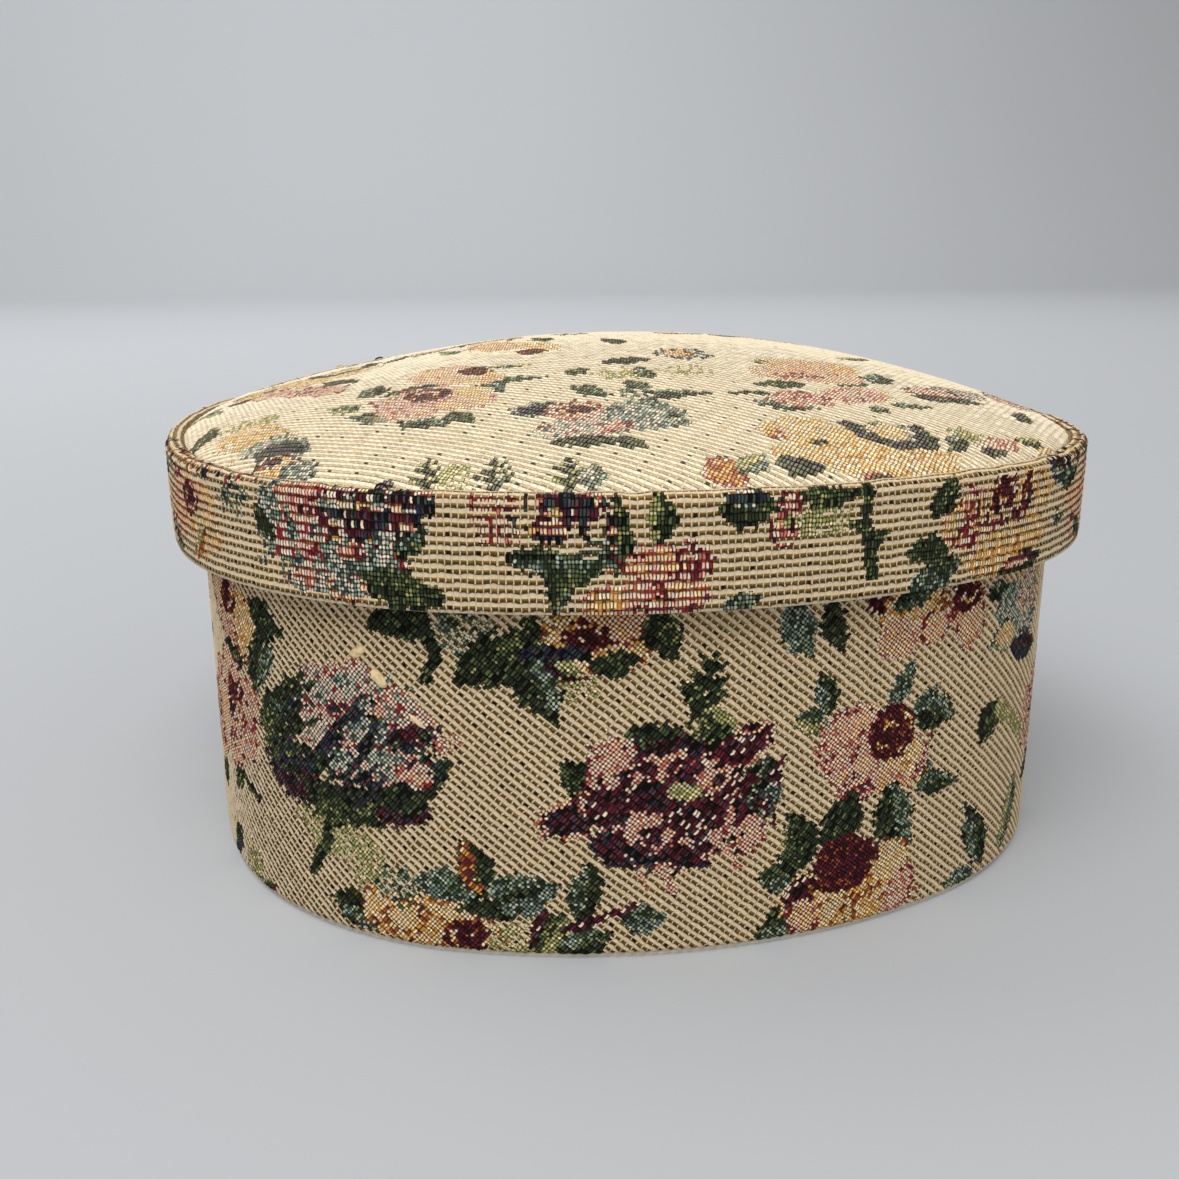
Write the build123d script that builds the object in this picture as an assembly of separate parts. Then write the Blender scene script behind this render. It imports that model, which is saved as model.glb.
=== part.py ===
from build123d import *
import math
import os

# A lidded keepsake box of card covered with thick woven fabric.
# The plan is a soft-cornered round: front, back and ends are shallow arcs, and
# tighter arcs join them. Every layer is that plan drawn in by its own depth, so
# all walls nest. The lid is a shallow ring with a padded, crowned top, and it
# lifts straight off the body, whose wall it overlaps.
# Millimetres. The origin is on the table under the middle of the box, +X runs to
# the right, +Y to the back and +Z up.

# Plan of the lid, to the outside of its fabric. An end arc runs this angle to
# either side of X, a side arc begins at its own angle, and corner arcs join them.
lid_length = 200.0
lid_depth = 192.0
corner_radius = 75.0
end_angle = 13.2
side_angle = 67.5

# Heights
rim_height = 87.7
skirt_height = 20.3
crown_rise = 17.6
edge_roll_rise = 1.6
seam_dip = 0.8

# Sheet materials
fabric_thickness = 1.0
lining_thickness = 0.6
wall_card_thickness = 2.2
base_card_thickness = 2.2
base_cover_thickness = 0.8
lid_card_thickness = 2.0
skirt_card_thickness = 1.6
liner_card_thickness = 1.0
skirt_lining_thickness = 0.5
pad_edge_thickness = 1.5

# How far the fabric is turned over the edges of the card
base_turn = 12.0
rim_turn = 13.0
hem_turn = 7.0
cushion_turn = 10.0
liner_turn = 8.0

# Fits between the pieces
lid_clearance = 2.0
liner_clearance = 0.3
base_cover_set_in = 0.9
wall_liner_set_down = 1.8
skirt_lining_set_up = 1.5

# Rounding of the folded edges
rim_fold_radius = 1.3
inner_fold_radius = 0.8
hem_fold_radius = 0.9
base_fold_radius = 0.9

# The crown is lofted through copies of its edge, drawn towards the middle to
# these shares of their size. The roll at the seam dies away with this power.
crown_shares = (1.0, 0.985, 0.95, 0.88, 0.72, 0.5, 0.26, 0.07)
edge_roll_power = 26

half_length = lid_length / 2
half_depth = lid_depth / 2

# How far the end and side radii exceed the corner's, so that the arcs meet both
# overall sizes and each runs on smoothly into the next
end_across, end_along = math.sin(math.radians(end_angle)), math.cos(math.radians(end_angle))
side_across, side_along = math.sin(math.radians(side_angle)), math.cos(math.radians(side_angle))
spare_length = half_length - corner_radius
spare_depth = half_depth - corner_radius
closing = side_along * end_across - (1 - side_across) * (1 - end_along)
end_excess = (spare_depth * side_along - spare_length * (1 - side_across)) / closing
side_excess = (spare_length * end_across - spare_depth * (1 - end_along)) / closing
end_radius = corner_radius + end_excess
side_radius = corner_radius + side_excess
corner_x = side_excess * side_along
corner_y = end_excess * end_across
end_x = half_length - end_radius
side_y = half_depth - side_radius

# Depths of the layers inside the lid's outline
skirt_card_in = fabric_thickness
skirt_leaf_in = skirt_card_in + skirt_card_thickness
cushion_in = skirt_leaf_in + fabric_thickness
skirt_bore_in = cushion_in + skirt_lining_thickness
body_in = skirt_bore_in + lid_clearance
wall_card_in = body_in + fabric_thickness
wall_leaf_in = wall_card_in + wall_card_thickness
wall_liner_in = wall_leaf_in + fabric_thickness
wall_liner_fabric_in = wall_liner_in + liner_card_thickness
body_bore_in = wall_liner_fabric_in + lining_thickness
floor_liner_in = body_bore_in + liner_clearance
lid_liner_in = skirt_bore_in + liner_clearance

# Levels, from the rim of the lid down and from the table up
skirt_base = rim_height - skirt_height
seam_level = rim_height - seam_dip
pad_base = seam_level - fabric_thickness - pad_edge_thickness
lid_card_base = pad_base - lid_card_thickness
cushion_base = lid_card_base - fabric_thickness
lid_liner_base = cushion_base - liner_card_thickness - lining_thickness
body_rim = lid_liner_base
fabric_base = base_cover_thickness
card_base = fabric_base + fabric_thickness
floor_base = card_base + base_card_thickness
wall_liner_top = body_rim - wall_liner_set_down


def outline(inset, level, share=1.0):
    """The plan drawn in by inset, at a level, shrunk to a share of its size."""
    turn = 180
    arcs = (
        (end_x, 0, end_radius, -end_angle, end_angle),
        (corner_x, corner_y, corner_radius, end_angle, side_angle),
        (0, side_y, side_radius, side_angle, turn - side_angle),
        (-corner_x, corner_y, corner_radius, turn - side_angle, turn - end_angle),
        (-end_x, 0, end_radius, turn - end_angle, turn + end_angle),
        (-corner_x, -corner_y, corner_radius, turn + end_angle, turn + side_angle),
        (0, -side_y, side_radius, turn + side_angle, 2 * turn - side_angle),
        (corner_x, -corner_y, corner_radius, 2 * turn - side_angle, 2 * turn - end_angle),
    )
    edges = [
        CenterArc((x * share, y * share), (radius - inset) * share, start, end - start)
        for x, y, radius, start, end in arcs
    ]
    return Pos(0, 0, level) * make_face(edges)


def plate(inset, low, high):
    """A flat piece that fills the plan between two levels."""
    return extrude(outline(inset, low), amount=high - low)


def band(outer, inner, low, high):
    """A wall that follows the plan, between two depths and two levels."""
    return plate(outer, low, high) - plate(inner, low, high)


def crown(inset, drop):
    """The domed top of the cushion over the seam, lowered by drop."""
    sections = []
    for share in crown_shares:
        roll = edge_roll_rise * (1 - share**edge_roll_power)
        rise = (crown_rise - edge_roll_rise) * (1 - share**2)
        sections.append(outline(inset, seam_level - drop + roll + rise, share))
    return loft(sections)


def ring_edges(solid, level, inset):
    """The edges of one arris: at this level, at this depth inside the plan."""
    wanted = outline(inset, level).edges()
    middles = [edge @ 0.5 for edge in wanted]
    near = fabric_thickness / 10
    return [
        edge
        for edge in solid.edges()
        if min((edge @ 0.5 - middle).length for middle in middles) < near
    ]


def rounded(solid, folds):
    """The solid with each named arris rounded, as folded cloth rounds it."""
    for level, inset, radius in folds:
        solid = fillet(ring_edges(solid, level, inset), radius)
    return solid


def body_fabric():
    """Side cover: one leaf outside, turned under the base and over the rim."""
    outside = band(body_in, wall_card_in, fabric_base, body_rim)
    over_rim = band(body_in, wall_liner_in, body_rim - fabric_thickness, body_rim)
    inside = band(wall_leaf_in, wall_liner_in, body_rim - rim_turn, body_rim)
    under = band(body_in, body_in + base_turn, fabric_base, card_base)
    folds = (
        (body_rim, body_in, rim_fold_radius),
        (body_rim, wall_liner_in, inner_fold_radius),
        (fabric_base, body_in, base_fold_radius),
    )
    return rounded(outside + over_rim + inside + under, folds)


def skirt_fabric():
    """Cover of the lid's ring: its upper fold is the rolled rim seen all round."""
    outside = band(0, skirt_card_in, skirt_base, rim_height)
    over_rim = band(0, cushion_in, rim_height - fabric_thickness, rim_height)
    inside_top = band(skirt_leaf_in, cushion_in, cushion_base, rim_height)
    under_hem = band(0, cushion_in, skirt_base, skirt_base + fabric_thickness)
    inside_hem = band(skirt_leaf_in, cushion_in, skirt_base, skirt_base + hem_turn)
    folds = (
        (rim_height, 0, rim_fold_radius),
        (rim_height, cushion_in, inner_fold_radius),
        (skirt_base, 0, hem_fold_radius),
        (skirt_base, cushion_in, inner_fold_radius),
    )
    return rounded(outside + over_rim + inside_top + under_hem + inside_hem, folds)


def cushion():
    """The lid's padded top: pad, and the cover stretched over it and the card."""
    skin = fabric_thickness
    pad = plate(cushion_in + skin, pad_base, seam_level - skin) + crown(cushion_in + skin, skin)
    card = plate(cushion_in + skin, lid_card_base, pad_base)
    shell = plate(cushion_in, cushion_base, seam_level) + crown(cushion_in, 0)
    opening = plate(cushion_in + cushion_turn, cushion_base, lid_card_base)
    return pad, card, shell - pad - card - opening


def wall_liner():
    """Card liner of the wall, and its lining turned over the liner's top edge."""
    card = band(wall_liner_in, wall_liner_fabric_in, floor_base, wall_liner_top - lining_thickness)
    cloth = band(wall_liner_fabric_in, body_bore_in, floor_base, wall_liner_top)
    over_top = band(wall_liner_in, body_bore_in, wall_liner_top - lining_thickness, wall_liner_top)
    return card, cloth + over_top


def floor_liner():
    """Lined card that lies on the floor of the box."""
    top = floor_base + liner_card_thickness + 2 * lining_thickness
    low = floor_base
    inner = floor_liner_in + lining_thickness
    board = plate(inner, low + lining_thickness, top - lining_thickness)
    opening = plate(floor_liner_in + liner_turn, low, low + lining_thickness)
    return board, plate(floor_liner_in, low, top) - board - opening


def lid_liner():
    """Lined card under the lid, whose lining faces down into the box."""
    inner = lid_liner_in + lining_thickness
    board = plate(inner, lid_liner_base + lining_thickness, cushion_base)
    return board, plate(lid_liner_in, lid_liner_base, cushion_base) - board


def skirt_lining():
    """Band of lining inside the lid's ring, over the turned edges of its cover."""
    return band(cushion_in, skirt_bore_in, skirt_base + skirt_lining_set_up, lid_liner_base)


def sub_parts():
    """Every piece of the box by name."""
    parts = {}
    parts["base_cover"] = plate(body_in + base_cover_set_in, 0, base_cover_thickness)
    parts["base_card"] = plate(wall_leaf_in, card_base, floor_base)
    parts["wall_card"] = band(wall_card_in, wall_leaf_in, card_base, body_rim - fabric_thickness)
    parts["body_fabric"] = body_fabric()
    parts["wall_liner_card"], parts["wall_liner_fabric"] = wall_liner()
    parts["floor_liner_card"], parts["floor_liner_fabric"] = floor_liner()
    parts["lid_pad"], parts["lid_card"], parts["lid_top_fabric"] = cushion()
    skirt_low, skirt_high = skirt_base + fabric_thickness, rim_height - fabric_thickness
    parts["skirt_card"] = band(skirt_card_in, skirt_leaf_in, skirt_low, skirt_high)
    parts["skirt_fabric"] = skirt_fabric()
    parts["skirt_lining"] = skirt_lining()
    parts["lid_liner_card"], parts["lid_liner_fabric"] = lid_liner()
    return parts


os.makedirs("parts", exist_ok=True)
for name, solid in sub_parts().items():
    export_step(solid, f"parts/{name}.step")
    print(f"{name}: {solid.volume / 1000:.2f} cm3")
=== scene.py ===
"""The looks of a lidded keepsake box covered in thick rose tapestry.

The cloths are woven as real meshes: their columns run along the ribs of the weave, their rows
lie across them, and each cell of that lattice is one stitch with its own yarn colours. Flat
cloth is measured in millimetres: a runs round the box from the middle of its front, b runs up.
"""

import math

import bpy
import numpy as np
from mathutils import Matrix, Vector


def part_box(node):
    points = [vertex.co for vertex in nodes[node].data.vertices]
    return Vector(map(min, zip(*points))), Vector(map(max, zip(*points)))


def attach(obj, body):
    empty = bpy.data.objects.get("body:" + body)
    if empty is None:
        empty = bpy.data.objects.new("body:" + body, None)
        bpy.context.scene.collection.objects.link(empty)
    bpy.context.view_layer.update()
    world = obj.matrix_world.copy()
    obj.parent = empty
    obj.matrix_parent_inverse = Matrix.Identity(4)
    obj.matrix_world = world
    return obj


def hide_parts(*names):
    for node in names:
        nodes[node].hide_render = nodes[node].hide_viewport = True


MM = 0.001
TURN = 2 * math.pi

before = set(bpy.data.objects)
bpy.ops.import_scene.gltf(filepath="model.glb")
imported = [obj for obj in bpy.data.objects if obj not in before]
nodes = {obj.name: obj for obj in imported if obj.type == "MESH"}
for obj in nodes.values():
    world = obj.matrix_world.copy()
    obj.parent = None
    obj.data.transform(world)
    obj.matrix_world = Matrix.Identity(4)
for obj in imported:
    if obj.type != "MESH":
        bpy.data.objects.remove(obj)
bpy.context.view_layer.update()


def reach(node):
    """Half length, half depth, lowest and highest level of a node, in millimetres."""
    low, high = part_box(node)
    return high.x / MM, high.y / MM, low.z / MM, high.z / MM


# The plan: front, back and ends are shallow arcs, and corner arcs join them
half_length, half_depth, hem_level, rim_level = reach("skirt_fabric")
corner_radius = 75.0
end_angle = math.radians(13.2)
side_angle = math.radians(67.5)


def plan_arcs():
    """Centre, radius and span of each arc, by rising angle from the middle of the front."""
    across = (1 - math.cos(end_angle), math.sin(end_angle))
    along = (math.cos(side_angle), 1 - math.sin(side_angle))
    spare = (half_length - corner_radius, half_depth - corner_radius)
    closing = along[0] * across[1] - along[1] * across[0]
    end_excess = (spare[1] * along[0] - spare[0] * along[1]) / closing
    side_excess = (spare[0] * across[1] - spare[1] * across[0]) / closing
    end_radius = corner_radius + end_excess
    side_radius = corner_radius + side_excess
    x, y = side_excess * along[0], end_excess * across[1]
    end_x, side_y = half_length - end_radius, half_depth - side_radius
    half = TURN / 2
    return (
        (0, -side_y, side_radius, -half / 2, -side_angle),
        (x, -y, corner_radius, -side_angle, -end_angle),
        (end_x, 0, end_radius, -end_angle, end_angle),
        (x, y, corner_radius, end_angle, side_angle),
        (0, side_y, side_radius, side_angle, half - side_angle),
        (-x, y, corner_radius, half - side_angle, half - end_angle),
        (-end_x, 0, end_radius, half - end_angle, half + end_angle),
        (-x, -y, corner_radius, half + end_angle, half + side_angle),
        (0, -side_y, side_radius, half + side_angle, half * 1.5),
    )


ARCS = plan_arcs()


def perimeter(inset):
    """Length of the plan drawn in by inset."""
    return sum((radius - inset) * (end - start) for _, _, radius, start, end in ARCS)


def walk(a, inset):
    """Points of the plan and their outward directions, at a millimetres from the front."""
    t = np.mod(np.asarray(a, float), perimeter(inset))
    x, y, angle = np.zeros_like(t), np.zeros_like(t), np.zeros_like(t)
    passed = 0.0
    for centre_x, centre_y, radius, start, end in ARCS:
        length = (radius - inset) * (end - start)
        here = (t >= passed) & (t <= passed + length + MM)
        angle[here] = start + (t[here] - passed) / (radius - inset)
        x[here] = centre_x + (radius - inset) * np.cos(angle[here])
        y[here] = centre_y + (radius - inset) * np.sin(angle[here])
        passed += length
    return x, y, np.cos(angle), np.sin(angle)


edge_tables = {}


def share_of_plan(x, y, inset):
    """How far out a point lies: 0 in the middle of the plan, 1 on its edge. And the edge's radius."""
    if inset not in edge_tables:
        edge_x, edge_y, _, _ = walk(np.linspace(0, perimeter(inset), 3000, endpoint=False), inset)
        edge_angle = np.arctan2(edge_y, edge_x)
        order = np.argsort(edge_angle)
        edge_tables[inset] = (edge_angle[order], np.hypot(edge_x, edge_y)[order])
    out = np.interp(np.arctan2(y, x), *edge_tables[inset], period=TURN)
    return np.hypot(x, y) / out, out


# Depths of the cloths inside the lid's outline, and levels
cushion_in, body_in, liner_in, floor_in, lid_liner_in = (
    half_length - reach(node)[0]
    for node in (
        "lid_top_fabric", "body_fabric", "wall_liner_card", "floor_liner_fabric", "lid_liner_fabric",
    )
)
base_level, body_rim = reach("body_fabric")[2:]
crown_level = reach("lid_top_fabric")[3]
lid_under = reach("lid_liner_fabric")[2]
floor_low, floor_high = reach("floor_liner_fabric")[2:]
liner_top = reach("wall_liner_fabric")[3]
lining_thickness = 0.6
liner_clearance = 0.3
lining_in = floor_in - liner_clearance
seam_dip = 0.8
seam_level = rim_level - seam_dip
edge_roll_rise = 1.6
edge_roll_power = 26


class Fold:
    """The line a cloth follows from edge to edge, over the edges of its card.

    Its corners are (depth inside the lid's outline, level, rounding). Its outer side is on the
    right of its direction. Where b is measured up a wall it equals the level there.
    """

    def __init__(self, corners, wall_depth, wall_level):
        points = [np.array((-depth, level)) for depth, level, _ in corners]
        line = [points[0]]
        for before, corner, after, (_, _, rounding) in zip(points, points[1:], points[2:], corners[1:]):
            toward = (before - corner) / np.linalg.norm(before - corner)
            onward = (after - corner) / np.linalg.norm(after - corner)
            for t in np.linspace(0, 1, 9):
                swing = t * TURN / 4
                cut = (1 - math.sin(swing)) * toward + (1 - math.cos(swing)) * onward
                line.append(corner + rounding * cut)
        line.append(points[-1])
        line = np.array(line)
        tiny = 1e-6
        steps = np.linalg.norm(np.diff(line, axis=0), axis=1)
        self.line = line[np.append(True, steps > tiny)]
        self.b = np.append(0, np.cumsum(steps[steps > tiny]))
        course = np.gradient(self.line, self.b, axis=0)
        course /= np.linalg.norm(course, axis=1)[:, None]
        self.facing = np.stack([course[:, 1], -course[:, 0]], 1)
        on_wall = np.abs(self.line[:, 0] + wall_depth) < tiny
        wall_b = np.interp(wall_level, self.line[on_wall, 1], self.b[on_wall])
        self.b = self.b - wall_b + wall_level

    def at(self, b):
        """Reach outwards, level and facing at b."""
        fields = (self.line[:, 0], self.line[:, 1], self.facing[:, 0], self.facing[:, 1])
        return [np.interp(b, self.b, field) for field in fields]


def noise(x, y, size, seed):
    """Smooth random field from -1 to 1, with lumps of about this size."""
    cells = 64
    table = np.random.default_rng(seed).uniform(-1, 1, (cells, cells))
    u, v = np.asarray(x) / size, np.asarray(y) / size
    i, j = np.floor(u).astype(int), np.floor(v).astype(int)
    s, t = u - i, v - j
    s, t = s * s * (3 - 2 * s), t * t * (3 - 2 * t)
    i, j, right, far_row = i % cells, j % cells, (i + 1) % cells, (j + 1) % cells
    near = table[i, j] * (1 - s) + table[right, j] * s
    far = table[i, far_row] * (1 - s) + table[right, far_row] * s
    return near * (1 - t) + far * t


def linear(rgb):
    """Scene colour of a colour written as on a screen, 0 to 255."""
    c = np.asarray(rgb, float) / 255
    return np.where(c <= 0.04045, c / 12.92, ((c + 0.055) / 1.055) ** 2.4)


# Colours of the yarns
YARNS = {
    "cream": (208, 188, 156),
    "ivory": (235, 221, 192),
    "umber": (124, 96, 46),
    "khaki": (170, 146, 98),
    "sand": (213, 196, 172),
    "ink": (18, 20, 15),
    "pine": (42, 48, 34),
    "moss": (66, 72, 48),
    "fern": (84, 96, 60),
    "olive": (148, 144, 88),
    "lichen": (188, 182, 130),
    "sage": (128, 140, 117),
    "mint": (168, 178, 156),
    "teal": (104, 119, 107),
    "slate": (56, 68, 63),
    "night": (42, 43, 56),
    "plum": (78, 54, 62),
    "wine": (86, 32, 42),
    "garnet": (54, 24, 28),
    "crimson": (132, 42, 46),
    "rose": (180, 104, 90),
    "pink": (216, 170, 148),
    "apricot": (226, 177, 132),
    "gold": (212, 170, 104),
    "straw": (230, 202, 150),
    "amber": (192, 132, 62),
    "rust": (142, 74, 46),
    "bark": (84, 50, 34),
}

# How each area of the design is woven: as plain ribs, tufts a rib wide, small beads or bars
# across the ribs. Then the yarns that show between the stitches, and those of the stitches,
# each as often as listed
RIBS, TUFTS, BEADS, BARS = 0.0, 0.33, 0.66, 1.0
MIXES = {
    "ground": (RIBS, "umber", "cream"),
    "pale ground": (RIBS, "khaki", "ivory"),
    "forest": (BARS, "ink ink ink pine", "pine pine pine moss pine ink fern"),
    "moss": (BEADS, "pine ink", "fern fern moss pine pine olive"),
    "olive": (BEADS, "moss fern", "lichen lichen olive olive olive straw"),
    "sage": (BEADS, "pine slate ink", "sage sage mint fern pine slate"),
    "teal": (BEADS, "slate ink pine", "teal teal sage slate mint pine"),
    "mist": (BEADS, "slate slate pine plum", "sand mint mint sand teal slate"),
    "posy": (TUFTS, "crimson crimson slate crimson wine bark", "sand sand sand mint sand sand teal crimson"),
    "navy": (BARS, "ink ink ink night", "night night slate slate ink plum"),
    "plum": (BARS, "garnet ink ink ink", "plum plum night garnet ink wine"),
    "burgundy": (BARS, "garnet ink ink wine", "wine garnet garnet wine ink plum sand"),
    "claret": (BEADS, "garnet ink", "wine wine wine garnet garnet rust"),
    "crimson": (TUFTS, "wine crimson garnet bark", "crimson wine pink sand sand rose"),
    "rosy": (TUFTS, "crimson rust bark rust wine", "pink sand sand sand pink rose straw pink"),
    "blush": (TUFTS, "crimson rust amber bark rust", "sand pink straw apricot straw sand"),
    "peach": (TUFTS, "rust crimson bark", "apricot straw straw pink gold sand"),
    "gold": (TUFTS, "amber amber bark moss", "gold gold straw straw straw sand ivory amber"),
    "straw": (TUFTS, "amber fern bark", "straw straw straw sand gold cream"),
    "amber": (BEADS, "rust bark", "amber amber gold gold rust rust"),
    "russet": (BARS, "bark", "rust rust wine amber straw"),
}
MIX_NAMES = list(MIXES)

# Bloom palettes: petal edge, light, middle, shade and heart
BLOOMS = {
    "rose": ("crimson", "blush", "rosy", "crimson", "burgundy"),
    "gold": ("russet", "straw", "gold", "amber", "burgundy"),
}


class Design:
    """How each stitch of one cloth is woven, painted at the stitches' places on the flat cloth."""

    def __init__(self, a, b, rib, streak, seed, ground):
        self.a, self.b = a, b
        self.mix = np.full(len(a), MIX_NAMES.index(ground))
        self.rough = noise(a, b, 1.3, seed) * 0.5 + noise(a, b, 3.2, seed + 1) * 0.6
        self.rough += 0.5 * np.random.default_rng(seed).uniform(-1, 1, len(a))
        self.fleck = noise(a, b, 2.0, seed + 5)
        self.streak, self.rib = streak, rib
        self.shift = (0.0, 0.0)

    def paint(self, where, mix):
        self.mix[where] = MIX_NAMES.index(mix)

    def shifted(self, a, b):
        """A place of the design in the repeat that is being painted."""
        return a + self.shift[0], b + self.shift[1]

    def around(self, a, b, reach_a, reach_b, tilt):
        """The stitches near a motif, and their places about its middle in shares of its size."""
        a, b = self.shifted(a, b)
        x, y = self.a - a, self.b - b
        near = np.flatnonzero(np.hypot(x, y) < 1.5 * max(reach_a, reach_b) + 1)
        x, y = x[near], y[near]
        c, s = math.cos(math.radians(tilt)), math.sin(math.radians(tilt))
        return near, (x * c + y * s) / reach_a, (-x * s + y * c) / reach_b

    def ragged(self, a, b, reach_a, reach_b, tilt, raggedness):
        """The stitches near a round motif, and how far out they lie: 1 on its ragged edge."""
        near, x, y = self.around(a, b, reach_a, reach_b, tilt)
        return near, np.hypot(x, y) + raggedness * self.rough[near]

    def bloom(self, a, b, reach_a, reach_b, tilt, palette, turn=0.0):
        """A full rose: rings of scalloped petals about a dark heart."""
        edge, light, middle, shade, heart = BLOOMS[palette]
        near, x, y = self.around(a, b, reach_a, reach_b, tilt)
        rough, fleck = self.rough[near], self.fleck[near]
        r, angle = np.hypot(x, y) + 0.09 * rough, np.arctan2(y, x) + turn
        line = 0.75 / math.sqrt(reach_a * reach_b)
        rings = ((1.12, 6, 0.3), (0.80, 5, 1.4), (0.54, 4, 2.3), (0.30, 3, 0.9))
        for place, (outer, petals, phase) in enumerate(rings):
            swirl = np.abs(np.cos(petals * angle / 2 + phase + place))
            rim = outer * (0.78 + 0.22 * swirl)
            depth = rim - r
            self.paint(near[depth > 0], shade if place % 2 else middle)
            self.paint(near[(depth > line) & (depth < 0.20) & (fleck > -0.5)], light)
            self.paint(near[(depth > 0) & (depth <= line) & (rough > -0.5)], edge)
            self.paint(near[(depth > 0) & (swirl < 0.25) & (depth < 0.25)], shade)
        self.paint(near[r < 0.18], heart)

    def heart(self, a, b, reach_a, reach_b, tilt, mix="claret", fleck="gold"):
        """A dark coil of stitches, as in the middle of a rose."""
        near, x, y = self.around(a, b, reach_a, reach_b, tilt)
        r = np.hypot(x, y) + 0.14 * self.rough[near]
        turn = self.shifted(a, b)[0]
        coil = np.cos(np.arctan2(y, x) - 9.5 * r + turn) + 0.5 * self.fleck[near]
        self.paint(near[r < 1], mix)
        self.paint(near[(r < 0.9) & (coil > 0.78) & (r > 0.25)], fleck)

    def petal(self, a, b, reach_a, reach_b, tilt, mix, edge=None):
        """A ragged petal with a line of another mix about it."""
        near, r = self.ragged(a, b, reach_a, reach_b, tilt, 0.24)
        self.paint(near[r < 1], mix)
        if edge:
            line = r > 1 - 0.9 / math.sqrt(reach_a * reach_b)
            self.paint(near[(r < 1) & line & (self.fleck[near] > -0.55)], edge)

    def patch(self, a, b, reach_a, reach_b, tilt, mix, other=None):
        """A ragged round of one mix, flecked with another."""
        near, r = self.ragged(a, b, reach_a, reach_b, tilt, 0.35)
        self.paint(near[r < 1], mix)
        if other:
            self.paint(near[(r < 1) & (self.fleck[near] > 0.1)], other)

    def streaks(self, a, b, reach_a, reach_b, tilt, mix, share=0.4):
        """Short bars of one mix strewn over part of a motif."""
        near, r = self.ragged(a, b, reach_a, reach_b, tilt, 0.3)
        self.paint(near[(r < 1) & (self.streak[near] > 0.5 - share)], mix)

    def ribbed(self, mix, other, low=-0.2):
        """Here and there, every other rib of one mix in another."""
        here = (self.mix == MIX_NAMES.index(mix)) & (self.rib % 2 == 0) & (self.fleck > low)
        self.paint(here, other)

    def net(self, a, b, reach_a, reach_b, tilt, mix="olive"):
        """Open work: a round of scattered stitches on the ground."""
        near, r = self.ragged(a, b, reach_a, reach_b, tilt, 0.35)
        pitch = 1.4
        a, b = self.a[near], self.b[near]
        rows = np.floor((a + b) / pitch) + np.floor((a - b) / pitch)
        self.paint(near[(r < 1) & ((rows % 2 == 0) | (self.fleck[near] > 0.25))], mix)

    def leaf(self, a, b, length, width, angle, dark="forest", pale="sage"):
        """A toothed leaf about its middle, pointing along angle, dark on one side of its rib."""
        near, x, y = self.around(a, b, length / 2, width / 2, angle)
        rough = self.rough[near]
        teeth = 1 + 0.22 * (((x + 1) * length / 4.6) % 1 - 0.5)
        half = np.sin(np.clip(x + 1, 0, 2) * TURN / 4) ** 0.8 * (1 - 0.32 * x) * teeth
        bend = y - 0.22 * x * x
        inside = (np.abs(x) < 1) & (np.abs(bend) + 0.24 * rough < half)
        self.paint(near[inside], dark)
        self.paint(near[inside & (bend > 0.10 + 0.35 * rough) & (bend < half * 0.92)], pale)
        vein = np.abs(bend) * width / 2 < 0.36
        self.paint(near[inside & vein & (np.abs(x) < 0.7) & (rough > 0.0)], "moss")

    def stem(self, a, b, width, mix, *steps):
        """A line of stitches from a, b on by each step of the steps' pairs."""
        a, b = self.shifted(a, b)
        for step_a, step_b in zip(steps[::2], steps[1::2]):
            x, y = self.a - a, self.b - b
            t = np.clip((x * step_a + y * step_b) / math.hypot(step_a, step_b) ** 2, 0, 1)
            off = np.hypot(x - t * step_a, y - t * step_b)
            self.paint(off + 0.5 * self.rough < width / 2, mix)
            a, b = a + step_a, b + step_b

    def sprig(self, a, b, length, angle, mix="forest", pale="sage", pairs=3):
        """A stem with pairs of small leaves."""
        c, s = math.cos(math.radians(angle)), math.sin(math.radians(angle))
        self.stem(a, b, 1.3, mix, length * c, length * s)
        for i in range(pairs):
            t = length * (0.30 + 0.70 * i / pairs)
            for side in (-1, 1):
                swing = math.radians(angle + side * 50)
                size = 0.44 * length * (1 - 0.2 * i)
                middle = (a + t * c + math.cos(swing) * size / 2, b + t * s + math.sin(swing) * size / 2)
                self.leaf(*middle, size, size * 0.42, angle + side * 50, mix, pale)


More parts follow.
